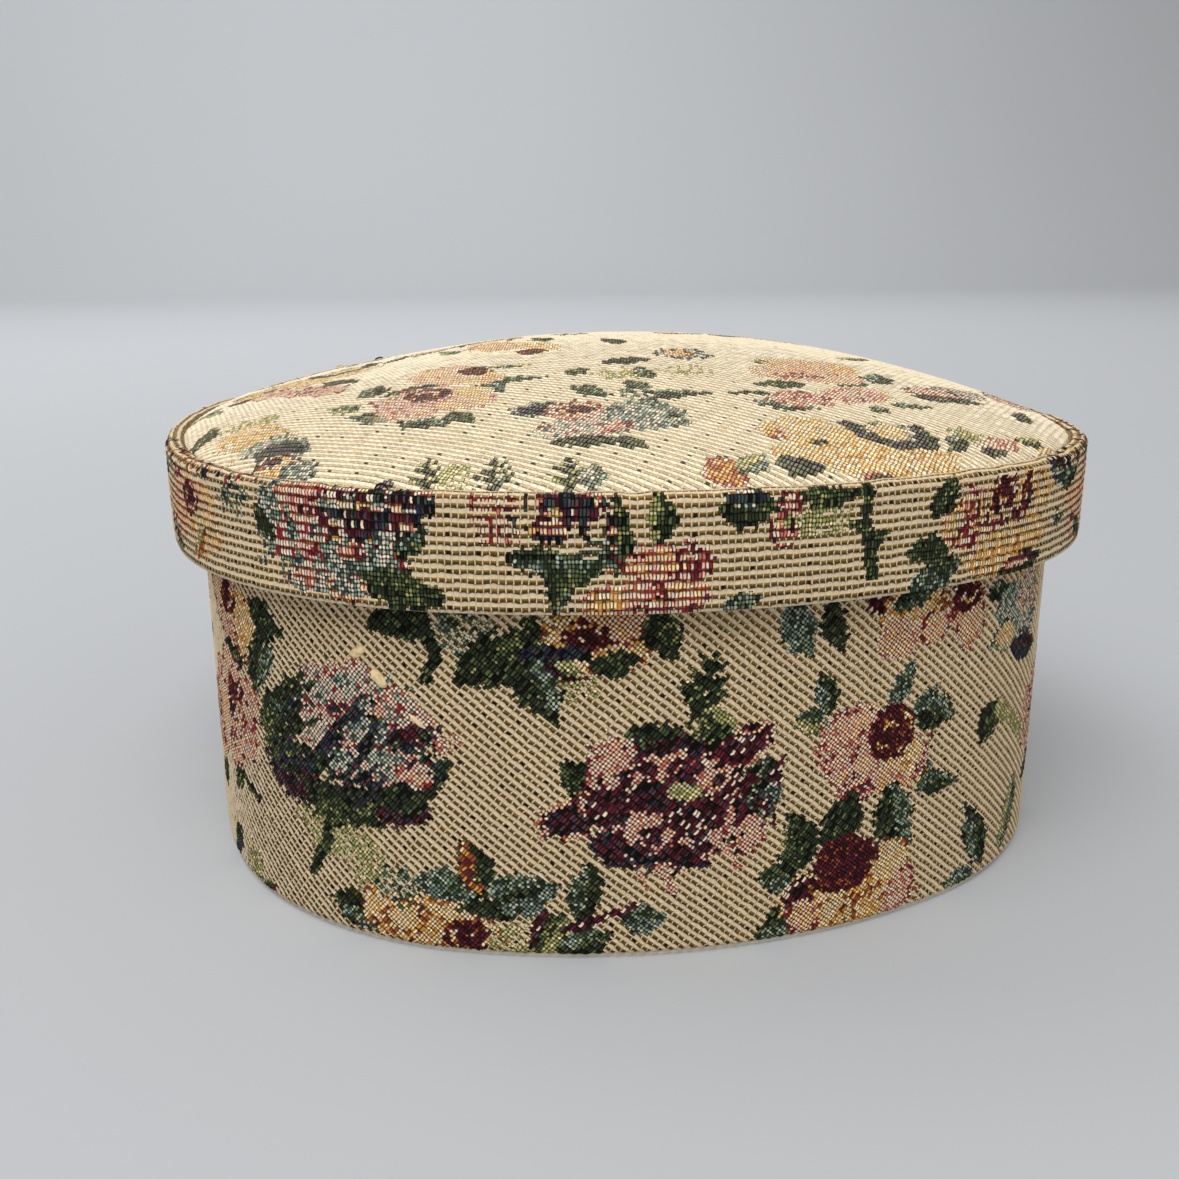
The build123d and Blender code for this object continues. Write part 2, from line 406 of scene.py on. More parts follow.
# One width of the body cloth's design, by its flowers
def left_bouquet(d):
    """Pale petals edged in crimson, on dark leaves."""
    d.net(-74, 20, 10, 4.5, -12)
    d.net(-68, 16, 5, 5, 20)
    d.stem(-76, 25, 2.4, "forest", -1, -7, -4, -7)
    d.leaf(-90, 38, 17, 10, 100, "forest", "moss")
    d.leaf(-87, 44, 14, 6, 190, "forest", "teal")
    d.petal(-85, 30, 9, 5.5, -15, "plum")
    d.patch(-87, 34, 6, 4, 30, "navy", "moss")
    d.patch(-71, 27, 12, 4.5, 5, "forest", "moss")
    d.petal(-59, 28, 6, 3, 15, "plum")
    d.leaf(-58, 33, 19, 11, 25, "forest", "moss")
    d.patch(-70, 41, 16, 12, -10, "navy", "forest")
    d.petal(-77, 49, 6, 4.5, 20, "posy", "crimson")
    d.petal(-67, 50, 8, 5, -10, "posy", "rosy")
    d.petal(-58, 46, 6, 4.5, -35, "posy", "rosy")
    d.petal(-78, 41, 6, 4.5, 30, "posy", "rosy")
    d.petal(-69, 43, 4.5, 4, 0, "mist", "crimson")
    d.petal(-72, 36, 6, 3.6, -10, "mist", "rosy")
    d.petal(-62, 37, 5.5, 4.5, 20, "mist", "rosy")
    d.petal(-62, 42, 3.6, 3, 0, "posy", "crimson")
    d.petal(-57, 35, 3.5, 3, 0, "rosy", "crimson")
    d.leaf(-82, 48, 10, 5, 15, "forest", "moss")
    d.stem(-80, 33, 2.6, "navy", 9, 10, 5, 5)
    d.stem(-72, 32, 2, "navy", 9, 12)
    d.leaf(-57, 42, 13, 5, 20, "navy", "plum")
    d.net(-51, 42, 2.6, 2.6, 0, "rosy")
    d.streaks(-70, 40, 15, 11, -10, "navy", 0.12)
    d.streaks(-68, 45, 13, 8, -10, "posy", 0.22)
    d.streaks(-66, 47, 12, 7, -10, "mist", 0.25)
    d.streaks(-80, 36, 9, 8, 0, "forest", 0.36)


def middle_bouquet(d):
    """Wine red and pink, with a dark sprig above it."""
    d.stem(-8, 52, 3.4, "olive", 5, -5, 7, -9)
    d.sprig(-8, 45, 14, 70, "forest", "forest")
    d.leaf(-13, 42, 15, 9, 150)
    d.leaf(-4, 42, 12, 9, 100, "forest", "moss")
    d.leaf(5, 31, 13, 9, 100, "teal")
    d.leaf(6, 35, 8, 5, 60, "forest", "teal")
    d.leaf(-27, 36, 9, 7, 130, "forest", "moss")
    d.petal(-29, 28, 6, 4, 25, "plum", "rosy")
    d.petal(-11, 31, 16, 12, -15, "plum")
    d.petal(-19, 22, 7, 4, -25, "plum", "navy")
    d.petal(2, 40, 7, 3.4, 30, "burgundy", "rosy")
    d.petal(-21, 38, 5, 6, 20, "rosy", "crimson")
    d.petal(-13, 37, 7, 3.6, 10, "rosy", "burgundy")
    d.petal(-3, 35, 6, 3.6, -30, "rosy", "crimson")
    d.petal(-22, 30, 6, 4.5, -30, "burgundy", "rosy")
    d.petal(-16, 27, 5, 5, 20, "rosy", "plum")
    d.petal(-6, 27, 8, 6, 0, "rosy", "crimson")
    d.heart(-6, 28, 5.5, 4.5, 0, "burgundy", "blush")
    d.patch(-14, 32, 5, 3, 20, "burgundy", "plum")
    d.patch(-9, 33, 4, 2, -20, "olive", "rosy")
    d.petal(3, 24, 4, 4.5, 20, "rosy", "crimson")
    d.petal(-9, 20, 6, 2.6, -15, "plum", "rosy")
    d.streaks(-9, 31, 15, 11, -15, "plum", 0.42)
    d.streaks(-10, 29, 16, 11, 0, "burgundy", 0.22)
    d.streaks(2, 36, 8, 6, 0, "burgundy", 0.3)
    d.stem(-18, 20, 1.3, "rosy", 3, -6)
    d.stem(-13, 18, 1.3, "rosy", 3, -5)
    d.stem(-1, 21, 1.3, "rosy", 3, -4)


def right_rose(d):
    """Pink and gold, with leaves about it."""
    d.leaf(18, 49, 10, 5, 105, "forest", "teal")
    d.leaf(15, 44, 8, 5, 165, "sage", "olive")
    d.leaf(35, 48, 10, 5, 60, "teal")
    d.leaf(43, 41, 12, 8, -25)
    d.leaf(41, 44, 8, 4, 35, "teal")
    d.leaf(45, 26, 13, 5, -15)
    d.leaf(42, 28, 7, 4, 70, "teal")
    d.petal(23, 37, 5.5, 8.5, 15, "rosy", "crimson")
    d.petal(26, 42, 5, 3.5, 10, "blush", "rosy")
    d.petal(33, 31, 9, 4.5, -10, "peach", "russet")
    d.petal(26, 31, 5, 4, 20, "blush", "rosy")
    d.petal(38, 33, 4, 5, -35, "gold", "rosy")
    d.streaks(25, 36, 8, 9, 0, "crimson", 0.2)
    d.heart(33, 39, 5.4, 5.4, 0)
    d.stem(39, 29, 1.2, "crimson", 4, 8)
    d.petal(25, 27.5, 4.5, 1.7, 5, "crimson")


def low_rose(d):
    """A gold rose with a wine red heart, below the right one."""
    d.leaf(10, 14, 9, 7, 170)
    d.leaf(10, 4, 10, 7, 200)
    d.leaf(14, 21, 13, 8, 100, "forest", "moss")
    d.leaf(23, 23, 12, 9, 60, "forest", "forest")
    d.leaf(35, 20, 17, 10, 290)
    d.petal(16, 7, 5, 7, 25, "burgundy", "gold")
    d.petal(28, 6, 12, 7, -10, "gold", "russet")
    d.petal(34, 11, 6, 6, -40, "straw", "russet")
    d.petal(22, 4, 6, 4, 20, "straw", "russet")
    d.petal(37, 5, 3, 6, -20, "rosy", "crimson")
    d.petal(15, 4, 3.5, 4, 20, "peach", "crimson")
    d.heart(24, 14, 6.8, 6, 0, "claret", "claret")
    d.stem(21, 2, 1.1, "russet", 5, 4, 6, 2)


def foot_flowers(d):
    """Leaves and a gold rose along the foot of the wall."""
    d.leaf(-71, 6, 13, 7, 165)
    d.petal(-56, 6, 13, 5.5, -5, "gold", "russet")
    d.petal(-60, 6, 5, 3.5, 20, "straw", "russet")
    d.petal(-50, 8, 5, 3, -20, "straw", "russet")
    d.heart(-48, 4, 4.6, 3.4, 0)
    d.net(-61, 12, 4, 4, 0, "sage")
    d.net(-36, 4, 8, 4, 0)
    d.patch(-42, 10, 9, 2, 0, "forest", "forest")
    d.leaf(-52, 14, 13, 7, 175, "sage", "teal")
    d.leaf(-46, 18, 12, 7, 110, "forest", "russet")
    d.leaf(-37, 13, 14, 9, 10, "teal")
    d.stem(-44, 11, 1.5, "forest", 9, 3)
    d.leaf(-33, 5, 12, 6, 240, "moss", "olive")
    d.stem(-36, 3, 1.7, "burgundy", 2, 6)
    d.leaf(-26, 14, 13, 6, 80)
    d.leaf(-26, 3, 12, 7, 20)
    d.leaf(-16, 8, 9, 7, -10, "teal")
    d.stem(-30, 6, 1.8, "burgundy", 6, 2, 7, 3)


def flowers_under_lid(d):
    """The flowers that the lid's edge cuts off."""
    d.petal(-24, 62, 11, 6.5, 0, "gold", "russet")
    d.petal(-20, 66, 9, 5, 0, "peach", "crimson")
    d.heart(-26, 62, 4, 3, 0)
    d.net(-29, 54, 5, 4, -20)
    d.net(-47, 63, 6, 4, 0, "sage")
    d.leaf(-59, 64, 13, 7, 190, "forest", "forest")
    d.stem(-54, 62, 2.4, "forest", 2, -4, -2, -4)
    d.leaf(-43, 57, 15, 9, 205, "forest", "forest")
    d.leaf(-37, 60, 12, 8, 60, "forest", "moss")
    d.leaf(-34, 52, 15, 8, 290)
    d.leaf(-30, 56, 9, 4, -30, "plum", "olive")
    d.stem(-36, 59, 2.6, "navy", 10, 0)
    d.leaf(-21, 57, 9, 5, 10, "forest", "forest")
    d.leaf(-13, 62, 10, 7, -70, "forest", "moss")
    d.leaf(12, 61, 12, 7, -70, "teal")
    d.leaf(19, 61, 12, 5, -70, "forest", "forest")
    d.petal(36, 62, 8, 6.5, 0, "gold", "russet")
    d.petal(33, 57, 5, 3.5, 0, "peach", "rosy")
    d.petal(42, 58, 4, 3, 0, "blush", "crimson")
    d.patch(28, 65, 3, 3, 0, "burgundy", "gold")
    d.leaf(36, 65, 10, 6, 200)
    d.petal(51, 59, 5, 6, 10, "peach", "crimson")
    d.heart(50, 63, 4.2, 3.6, 0)
    d.leaf(60, 62, 8, 4, 0)
    d.leaf(66, 57, 7, 4, 20)
    d.bloom(55, 74, 12, 6, 0, "gold", 0.3)


def flowers_behind_lid(d):
    """The flowers that show only once the lid is lifted."""
    d.petal(-84, 76, 10, 7, 10, "rosy", "crimson")
    d.petal(-76, 72, 6, 4, 0, "blush", "rosy")
    d.heart(-83, 77, 4.4, 3.6, 0, "claret", "blush")
    d.leaf(-97, 74, 13, 6, 170)
    d.leaf(-70, 79, 11, 6, 30)
    d.leaf(-60, 74, 13, 6, 70, "forest", "moss")
    d.petal(-40, 77, 8, 6, 0, "mist", "teal")
    d.petal(-33, 73, 6, 4, 0, "posy", "crimson")
    d.leaf(-48, 72, 11, 6, 200)
    d.leaf(-6, 77, 12, 6, 120)
    d.petal(5, 76, 9, 6, -10, "gold", "russet")
    d.petal(12, 72, 6, 4, 0, "straw", "gold")
    d.heart(6, 77, 4, 3.4, 0)
    d.leaf(24, 77, 12, 6, 40, "forest", "moss")
    d.petal(38, 76, 9, 6, 0, "rosy", "burgundy")
    d.leaf(70, 76, 13, 6, 20)
    d.petal(86, 75, 9, 6, 0, "peach", "rosy")


def flowers_between(d):
    """The flowers at the two ends of the width."""
    d.petal(-109, 58, 10, 7, -10, "rosy", "crimson")
    d.petal(-99, 56, 6, 7, 0, "gold", "russet")
    d.petal(-114, 62, 7, 5, 0, "blush", "crimson")
    d.heart(-107, 60, 4.4, 3.4, 0, "claret", "blush")
    d.leaf(-94, 50, 18, 8, 245)
    d.leaf(-91, 59, 12, 7, -20, "forest", "forest")
    d.leaf(-108, 48, 15, 6, 185, "forest", "plum")
    d.bloom(-110, 36, 14, 12, 10, "rose", 1.7)
    d.petal(-118, 33, 5, 6, 0, "peach", "rosy")
    d.heart(-107, 41, 5, 2.4, 10, "claret", "blush")
    d.leaf(-109, 21, 8, 4.4, 220, "forest", "moss")
    d.stem(-105, 23, 2, "forest", 7, -3)
    d.leaf(-114, 5, 13, 6, 230, "forest", "navy")
    d.leaf(-97, 2, 8, 3, 20, "plum", "olive")
    d.net(-103, 5, 5, 4, 0)
    d.petal(70, 56, 10, 7, -10, "mist", "teal")
    d.petal(74, 60, 6, 5, 0, "posy", "gold")
    d.petal(64, 52, 5, 3.5, 0, "straw", "teal")
    d.leaf(75, 47, 17, 6, -10, "navy", "plum")
    d.leaf(60, 35, 10, 8, 235, "forest", "moss")
    d.stem(64, 37, 3.6, "olive", 9, -6, 7, -6)
    d.leaf(59, 11, 19, 7, 118)
    d.leaf(74, 11, 17, 7, 70, "sage", "olive")
    d.leaf(54, 3, 11, 4, 180, "teal")
    d.bloom(87, 30, 9, 9, 0, "rose", 0.4)
    d.leaf(88, 17, 12, 6, 30, "forest", "moss")


BODY_DESIGN = (
    left_bouquet, middle_bouquet, right_rose, low_rose, foot_flowers, flowers_under_lid,
    flowers_behind_lid, flowers_between,
)


# One width of the lid ring's design. b runs on over the rim above 88
def ring_slate_rose(d):
    """Cream and red on slate and navy."""
    d.petal(-82, 81, 6, 7, 0, "mist", "teal")
    d.petal(-74, 77, 11, 7, -10, "posy")
    d.petal(-65, 77, 9, 6, 10, "mist", "posy")
    d.petal(-76, 85, 7, 3.6, 0, "rosy")
    d.petal(-66, 85, 10, 4, 0, "posy", "crimson")
    d.patch(-70, 83, 5, 3.4, -20, "burgundy", "navy")
    d.patch(-63, 84, 3.6, 5, 0, "navy", "forest")
    d.patch(-56, 85, 5, 4, 10, "navy", "plum")
    d.streaks(-72, 78, 14, 9, 0, "teal", 0.3)
    d.streaks(-66, 84, 12, 6, 0, "burgundy")
    d.patch(-76, 77, 3, 1.6, 0, "crimson", "rosy")
    d.patch(-67, 77, 3.4, 1.4, 0, "crimson", "rosy")
    d.patch(-75, 71, 5, 2, 0, "rosy", "mist")
    d.petal(-68, 71, 4, 2.4, 0, "mist", "rosy")
    d.leaf(-86, 80, 8, 3.4, -50, "forest", "forest")
    d.leaf(-56, 79, 8, 4, 35, "forest", "teal")
    d.leaf(-58, 71, 16, 7, -12, "forest", "moss")
    d.net(-94, 83, 5, 3, 0, "sage")


def ring_red_sprigs(d):
    """Red sprigs and a rose beside a dark stem."""
    d.net(-42, 84, 4, 5, 0, "crimson")
    d.petal(-30, 86, 6, 3.4, 0, "burgundy", "rosy")
    d.petal(-33, 82, 3.6, 2.4, 0, "rosy", "burgundy")
    d.leaf(-22, 81, 15, 5, 88, "forest", "plum")
    d.leaf(-15, 84, 9, 5, 90, "forest", "olive")
    d.streaks(-31, 85, 8, 6, 0, "navy", 0.3)
    d.net(-25, 78, 4, 2.4, 0, "sage")
    d.leaf(-35, 77, 12, 5, 170)
    d.leaf(-31, 73, 12, 6, 250)
    d.leaf(-29, 75, 9, 6, -10, "moss")
    d.petal(-15, 75, 6.5, 4.4, 0, "blush", "crimson")
    d.petal(-18, 71, 5, 3, 0, "rosy", "crimson")
    d.petal(-11, 71, 4, 3.6, 0, "blush", "crimson")
    d.net(-10, 76, 4, 3.4, 0, "crimson")
    d.petal(-24, 70, 4.4, 3.2, 0, "gold", "rosy")
    d.patch(-15, 69, 3, 1.4, 0, "crimson", "burgundy")


def ring_dark_leaves(d):
    """Dark leaves below the rim, with a hanging stem."""
    d.leaf(0, 85, 12, 7, 5, "forest", "navy")
    d.leaf(14, 86, 14, 4, 0, "forest", "moss")
    d.net(6, 83, 3.4, 5, 0, "crimson")
    d.patch(6, 81.5, 2.6, 1.4, 0, "burgundy", "crimson")
    d.net(13, 82, 6, 2.6, 0)
    d.stem(21, 88, 2.4, "forest", 0, -9, 2, -7)
    d.leaf(23, 78, 6, 3, 20, "forest", "forest")
    d.leaf(20, 81, 5, 3, 170, "forest", "moss")
    d.leaf(-1, 69, 8, 3, 10, "teal")


def ring_gold_rose(d):
    """A gold rose with a wine red heart."""
    d.petal(46, 79, 8, 6, 0, "straw", "blush")
    d.petal(56, 77, 11, 7, 0, "straw", "gold")
    d.petal(52, 72, 10, 4, 0, "gold", "straw")
    d.petal(62, 82, 6, 5, 0, "straw", "gold")
    d.net(45, 82, 4, 3.4, -20, "crimson")
    d.net(43, 76, 3.4, 2.4, 20, "crimson")
    d.net(50, 78, 4, 1.6, 0, "crimson")
    d.patch(52, 83, 3.6, 4, -30, "burgundy", "claret")
    d.patch(59, 82, 2, 4, -10, "burgundy", "claret")
    d.patch(57, 79, 2.6, 1.4, 0, "burgundy", "crimson")
    d.leaf(38, 84, 9, 5, 55, "forest", "moss")
    d.leaf(34, 75, 10, 5.4, 175, "forest", "moss")
    d.leaf(37, 70, 13, 6, 20, "teal")
    d.leaf(39, 72, 6, 3, 20, "forest", "forest")
    d.leaf(59, 69, 14, 5, 8, "forest", "plum")
    d.leaf(73, 85, 14, 6, -18, "navy", "plum")
    d.leaf(78, 83, 9, 5, 10)
    d.leaf(73, 76, 6, 3, 0, "sage", "olive")


def ring_pale_rose(d):
    """A rose across the join of the widths, and broken colour along the rim."""
    d.streaks(-128, 88, 14, 3.4, 0, "moss", 0.45)
    d.streaks(-112, 89, 12, 3, 0, "russet")
    d.streaks(-96, 89, 10, 3, 0, "crimson", 0.35)
    d.streaks(-134, 88, 10, 3, 0, "burgundy", 0.35)
    d.streaks(-105, 88, 10, 2.6, 0, "navy", 0.2)
    d.petal(84, 78, 8, 4, -10, "peach", "straw")
    d.petal(86, 73, 7, 4, 0, "blush", "rosy")
    d.patch(83, 73, 3.4, 2.4, 0, "burgundy", "rosy")
    d.petal(-113, 81, 12, 5, 0, "blush", "straw")
    d.petal(-106, 76, 6, 5, 0, "straw", "peach")
    d.petal(-120, 77, 6, 5, 0, "peach", "rosy")
    d.heart(-112, 81, 4, 3.2, 0, "claret", "blush")
    d.net(-120, 85, 5, 1.6, 0, "crimson")
    d.leaf(-108, 73, 9, 3.4, 50, "russet", "olive")
    d.leaf(-124, 71, 10, 4, -20)


RING_DESIGN = (
    ring_slate_rose, ring_red_sprigs, ring_dark_leaves, ring_gold_rose, ring_pale_rose,
)


# One repeat of the lid top's design, in plan: a to the right and b to the back
def top_slate_rose(d):
    """Gold, slate and wine red, at the left."""
    d.leaf(-90, -27, 14, 5, 75, "forest", "moss")
    d.net(-81, -31, 6, 4, -30)
    d.petal(-81, -40, 6, 8, 20, "gold", "straw")
    d.petal(-78, -49, 6, 4, 20, "mist", "straw")
    d.petal(-75, -54, 6, 4, -40, "navy", "sage")
    d.petal(-76, -60, 4.4, 4, -40, "gold", "burgundy")
    d.petal(-72, -65, 3, 4, 20, "mist", "navy")
    d.patch(-77, -58, 3, 1.6, -30, "burgundy", "crimson")


def top_side_rose(d):
    """A pink rose seen from its side, with a long dark leaf."""
    d.petal(-77, 2, 5, 9, 25, "rosy", "crimson")
    d.petal(-70, -9, 5, 9, 25, "crimson", "rosy")
    d.petal(-66, -18, 4, 6, 25, "rosy", "crimson")
    d.leaf(-63, -7, 17, 5, 115, "forest", "navy")
    d.leaf(-92, 3, 15, 4, 120, "sage", "olive")


def top_twin_roses(d):
    """Two roses, their leaves about them."""
    d.leaf(-57, -31, 10, 6, 75)
    d.leaf(-63, -40, 9, 5, 130, "sage", "olive")
    d.leaf(-58, -49, 11, 7, 140)
    d.leaf(-50, -57, 12, 6, -40)
    d.leaf(-43, -58, 8, 5, -60, "forest", "moss")
    d.leaf(-30, -28, 11, 3.4, -15, "sage", "olive")
    d.leaf(-31, -39, 17, 4, -8)
    d.leaf(-35, -43, 8, 6, -70, "forest", "teal")
    d.petal(-43, -25, 7, 6, 0, "blush", "rosy")
    d.petal(-40, -33, 8, 5, 0, "blush", "peach")
    d.petal(-35, -36, 4, 4, 0, "peach", "straw")
    d.heart(-36, -28, 3.4, 4.4, 0, "claret", "peach")
    d.leaf(-50, -36, 12, 5, 185)
    d.petal(-48, -45, 11, 8, -15, "rosy", "crimson")
    d.petal(-52, -51, 6, 4, -20, "rosy", "rosy")
    d.petal(-41, -50, 6, 4.4, 10, "blush", "rosy")
    d.petal(-39, -44, 4, 4, 0, "straw", "blush")
    d.heart(-47, -42, 4.6, 4, -25, "claret", "rosy")


def top_cream_rose(d):
    """Cream and red among slate, with a thin leaf under it."""
    d.petal(-28, -59, 5, 4, 0, "navy", "mist")
    d.petal(-11, -66, 8, 7, 0, "mist", "teal")
    d.petal(-22, -69, 9, 5, 0, "posy", "mist")
    d.petal(-22, -61, 6, 4.4, 0, "rosy", "crimson")
    d.heart(-22, -61, 3.6, 2.4, 0, "claret", "peach")
    d.patch(-16, -70, 4, 2, 20, "crimson", "rosy")
    d.leaf(-21, -75, 17, 4.4, -5, "forest", "forest")
    d.leaf(-15, -77, 6, 4, -50, "forest", "moss")
    d.leaf(-5, -67, 4, 2.4, 60, "forest", "forest")
    d.leaf(-17, -38, 6, 5, 20, "forest", "moss")
    d.leaf(-17, -52, 11, 5, -50)
    d.net(-9, -55, 4, 5, 0, "sage")
    d.leaf(-8, -51, 9, 4.4, -70)
    d.leaf(-1, -56, 13, 4, -8)
    d.leaf(-4, -57, 7, 4, 200, "forest", "forest")
    d.net(-9, -42, 5, 4, 0)
    d.net(5, -41, 5, 4, 0)
    d.leaf(-4, -42, 10, 3.6, 88)
    d.leaf(-6, -32, 11, 6, 190, "navy", "forest")
    d.petal(8, -27, 6, 6, 0, "mist", "navy")
    d.petal(7, -26, 3.4, 4, 0, "peach", "russet")
    d.leaf(-3, -9, 11, 5, 100, "forest", "navy")


def top_pale_roses(d):
    """Two pale roses at the right."""
    d.leaf(24, -32, 7, 3.4, 50, "sage", "olive")
    d.leaf(47, -40, 12, 7, 60, "forest", "teal")
    d.leaf(38, -47, 10, 4, 10, "forest", "moss")
    d.leaf(21, -50, 12, 5, 190, "forest", "forest")
    d.petal(33, -35, 12, 7, 10, "peach", "straw")
    d.petal(25, -42, 7, 5, 0, "blush", "rosy")
    d.petal(35, -44, 8, 4, 10, "blush", "rosy")
    d.heart(28, -43, 6, 2.4, 0, "crimson", "peach")
    d.leaf(13, -56, 9, 2.6, 180, "forest", "forest")
    d.leaf(46, -59, 11, 3, 12)
    d.leaf(18, -63, 13, 5, -15)
    d.leaf(37, -63, 5, 4, -30)
    d.petal(22, -59, 7, 4.4, 0, "rosy", "crimson")
    d.petal(35, -55, 9, 5, 15, "rosy", "blush")
    d.patch(26, -58, 5, 2, 0, "crimson", "rosy")
    d.patch(34, -58, 4, 1.6, 0, "crimson", "rosy")


def top_gold_rose(d):
    """The gold rose on the front rim, with its dark curled leaf."""
    d.petal(26, -81, 16, 9, -5, "gold", "straw")
    d.petal(17, -74, 9, 5, 0, "straw", "gold")
    d.petal(14, -83, 6, 4, 0, "straw", "gold")
    d.petal(36, -84, 8, 4, 15, "gold", "straw")
    d.patch(11, -76, 2.4, 2.4, 40, "crimson", "amber")
    d.leaf(18, -79, 4, 2.4, 0, "forest", "forest")
    d.petal(34, -74, 5, 4, 0, "straw", "sage")
    d.stem(27, -71, 3, "navy", 1, -5, 5, -3, 6, 1, 2, 7)
    d.leaf(30, -77, 7, 4, -50, "navy", "forest")
    d.leaf(41, -75, 10, 4, 80, "forest", "navy")
    d.leaf(12, -87, 9, 6, -10, "forest", "navy")
    d.leaf(25, -89, 7, 2, 5, "burgundy", "crimson")
    d.petal(-2, -88, 4, 4, 0, "amber", "crimson")
    d.leaf(4, -86, 9, 5, 40, "sage", "olive")
    d.leaf(47, -75, 11, 4, 55)
    d.petal(56, -74, 6, 3, 20, "rosy", "crimson")
    d.leaf(54, -77, 8, 3, 20, "forest", "plum")
    d.net(51, -72, 4, 3, 0)
    d.leaf(66, -69, 9, 4, 30, "forest", "olive")
    d.petal(70, -73, 7, 4, 30, "straw", "gold")


def top_right_flowers(d):
    """Slate and plum flowers down the right side."""
    d.petal(64, -42, 11, 4.4, 35, "posy", "mist")
    d.petal(56, -46, 8, 4, 20, "rosy", "plum")
    d.leaf(58, -50, 20, 5, 12, "forest", "plum")
    d.leaf(74, -52, 13, 4, 60, "forest", "navy")
    d.petal(84, -27, 5, 13, -35, "posy", "plum")
    d.petal(80, -37, 5, 6, -35, "rosy", "crimson")
    d.leaf(92, -20, 17, 5, 55, "navy", "forest")
    d.leaf(52, -17, 16, 4, 40, "sage", "olive")


def top_sprigs(d):
    """Sprigs along the front rim."""
    d.leaf(-58, -78, 5, 3, 40, "plum", "plum")
    d.sprig(-52, -83, 10, 78, "forest", "olive")
    d.sprig(-41, -87, 10, 80, "forest", "mist")
    d.sprig(-29, -90, 10, 78, "forest", "olive")
    d.net(-46, -80, 3, 4, 0)
    d.leaf(-24, -86, 8, 4, 70, "sage", "mist")


def top_back_rose(d):
    """A gold rose further back."""
    d.petal(-28, 2, 6, 11, 12, "peach", "gold")
    d.petal(-20, -8, 4, 10, 10, "gold", "straw")
    d.patch(-22, -15, 3, 4, 0, "claret", "amber")
    d.leaf(-38, 6, 15, 4, 100, "sage", "olive")
    d.leaf(-17, 5, 13, 5, 100, "forest", "moss")


TOP_DESIGN = (
    top_slate_rose, top_side_rose, top_twin_roses, top_cream_rose, top_pale_roses, top_gold_rose,
    top_right_flowers, top_sprigs, top_back_rose,
)


def draw(d, design, shifts):
    """Paint all flowers of a design once for each shift along a and b."""
    for shift in shifts:
        d.shift = shift
        for flowers in design:
            flowers(d)


class Weave:
    """The lattice of one cloth: rib spacing, stitch length and the direction of the ribs."""

    def __init__(self, rib, stitch, angle):
        self.rib, self.stitch = rib, stitch
        turn = math.radians(angle)
        self.course = np.array((math.cos(turn), math.sin(turn)))
        self.across = np.array((-self.course[1], self.course[0]))

    def flat(self, p, q):
        """Place on the flat cloth, p ribs across and q stitches along."""
        a = p * self.rib * self.across[0] + q * self.stitch * self.course[0]
        b = p * self.rib * self.across[1] + q * self.stitch * self.course[1]
        return a, b


def limits_of_strip(weave, p, a_span, b_span):
    """Where each column of the lattice enters and leaves a strip of cloth."""
    low, high = np.full(len(p), -1e9), np.full(len(p), 1e9)
    for axis, (start, end) in enumerate((a_span, b_span)):
        slope = weave.stitch * weave.course[axis]
        if abs(slope) < 1e-9:
            continue
        ends = (np.array([start, end])[:, None] - p * weave.rib * weave.across[axis]) / slope
        low, high = np.maximum(low, ends.min(0)), np.minimum(high, ends.max(0))
    return low, high


def limits_of_round(weave, p, inset, spare):
    """Where each column of the lattice enters and leaves the plan, with spare beyond its edge."""
    farthest, step = 160, 0.25
    q = np.arange(-farthest, farthest, step)
    low, high = np.zeros(len(p)), np.zeros(len(p))
    for i, column in enumerate(p):
        share, out = share_of_plan(*weave.flat(column, q), inset)
        inside = q[(share - 1) * out < spare]
        low[i], high[i] = (inside[0], inside[-1]) if len(inside) else (0, 0)
    return low, high


def lattice(p, low, high, step):
    """Vertices (p, q), and the corners and cell of each face, of cloth between those limits."""
    q = np.arange(math.floor(low.min() / step), math.ceil(high.max() / step) + 1) * step
    edge = step * 0.02
    inside = (q > low[:, None] + edge) & (q < high[:, None] - edge)
    rank = np.cumsum(inside, axis=1)
    total = inside.sum(1) + 2
    start = np.append(0, np.cumsum(total)[:-1])
    above = q >= high[:, None] - edge
    ident = start[:, None] + np.where(above & ~inside, total[:, None] - 1, rank)
    vertex_p = np.repeat(p, total)
    vertex_q = np.zeros(total.sum())
    vertex_q[start] = low
    vertex_q[start + total - 1] = high
    column, row = np.nonzero(inside)
    vertex_q[ident[column, row]] = q[row]
    corners = np.stack([ident[:-1, :-1], ident[1:, :-1], ident[1:, 1:], ident[:-1, 1:]], -1)
    cell_p = np.broadcast_to((p[:-1, None] + p[1:, None]) / 2, corners.shape[:2])
    cell_q = np.broadcast_to((q[:-1] + q[1:]) / 2, corners.shape[:2])
    corners, cell_p, cell_q = corners.reshape(-1, 4), cell_p.ravel(), cell_q.ravel()
    real = (corners[:, 0] != corners[:, 3]) | (corners[:, 1] != corners[:, 2])
    return vertex_p, vertex_q, corners[real], cell_p[real], cell_q[real]


def placed(name, data):
    """A new object with this data, in the scene."""
    made = bpy.data.objects.new(name, data)
    bpy.context.scene.collection.objects.link(made)
    return made


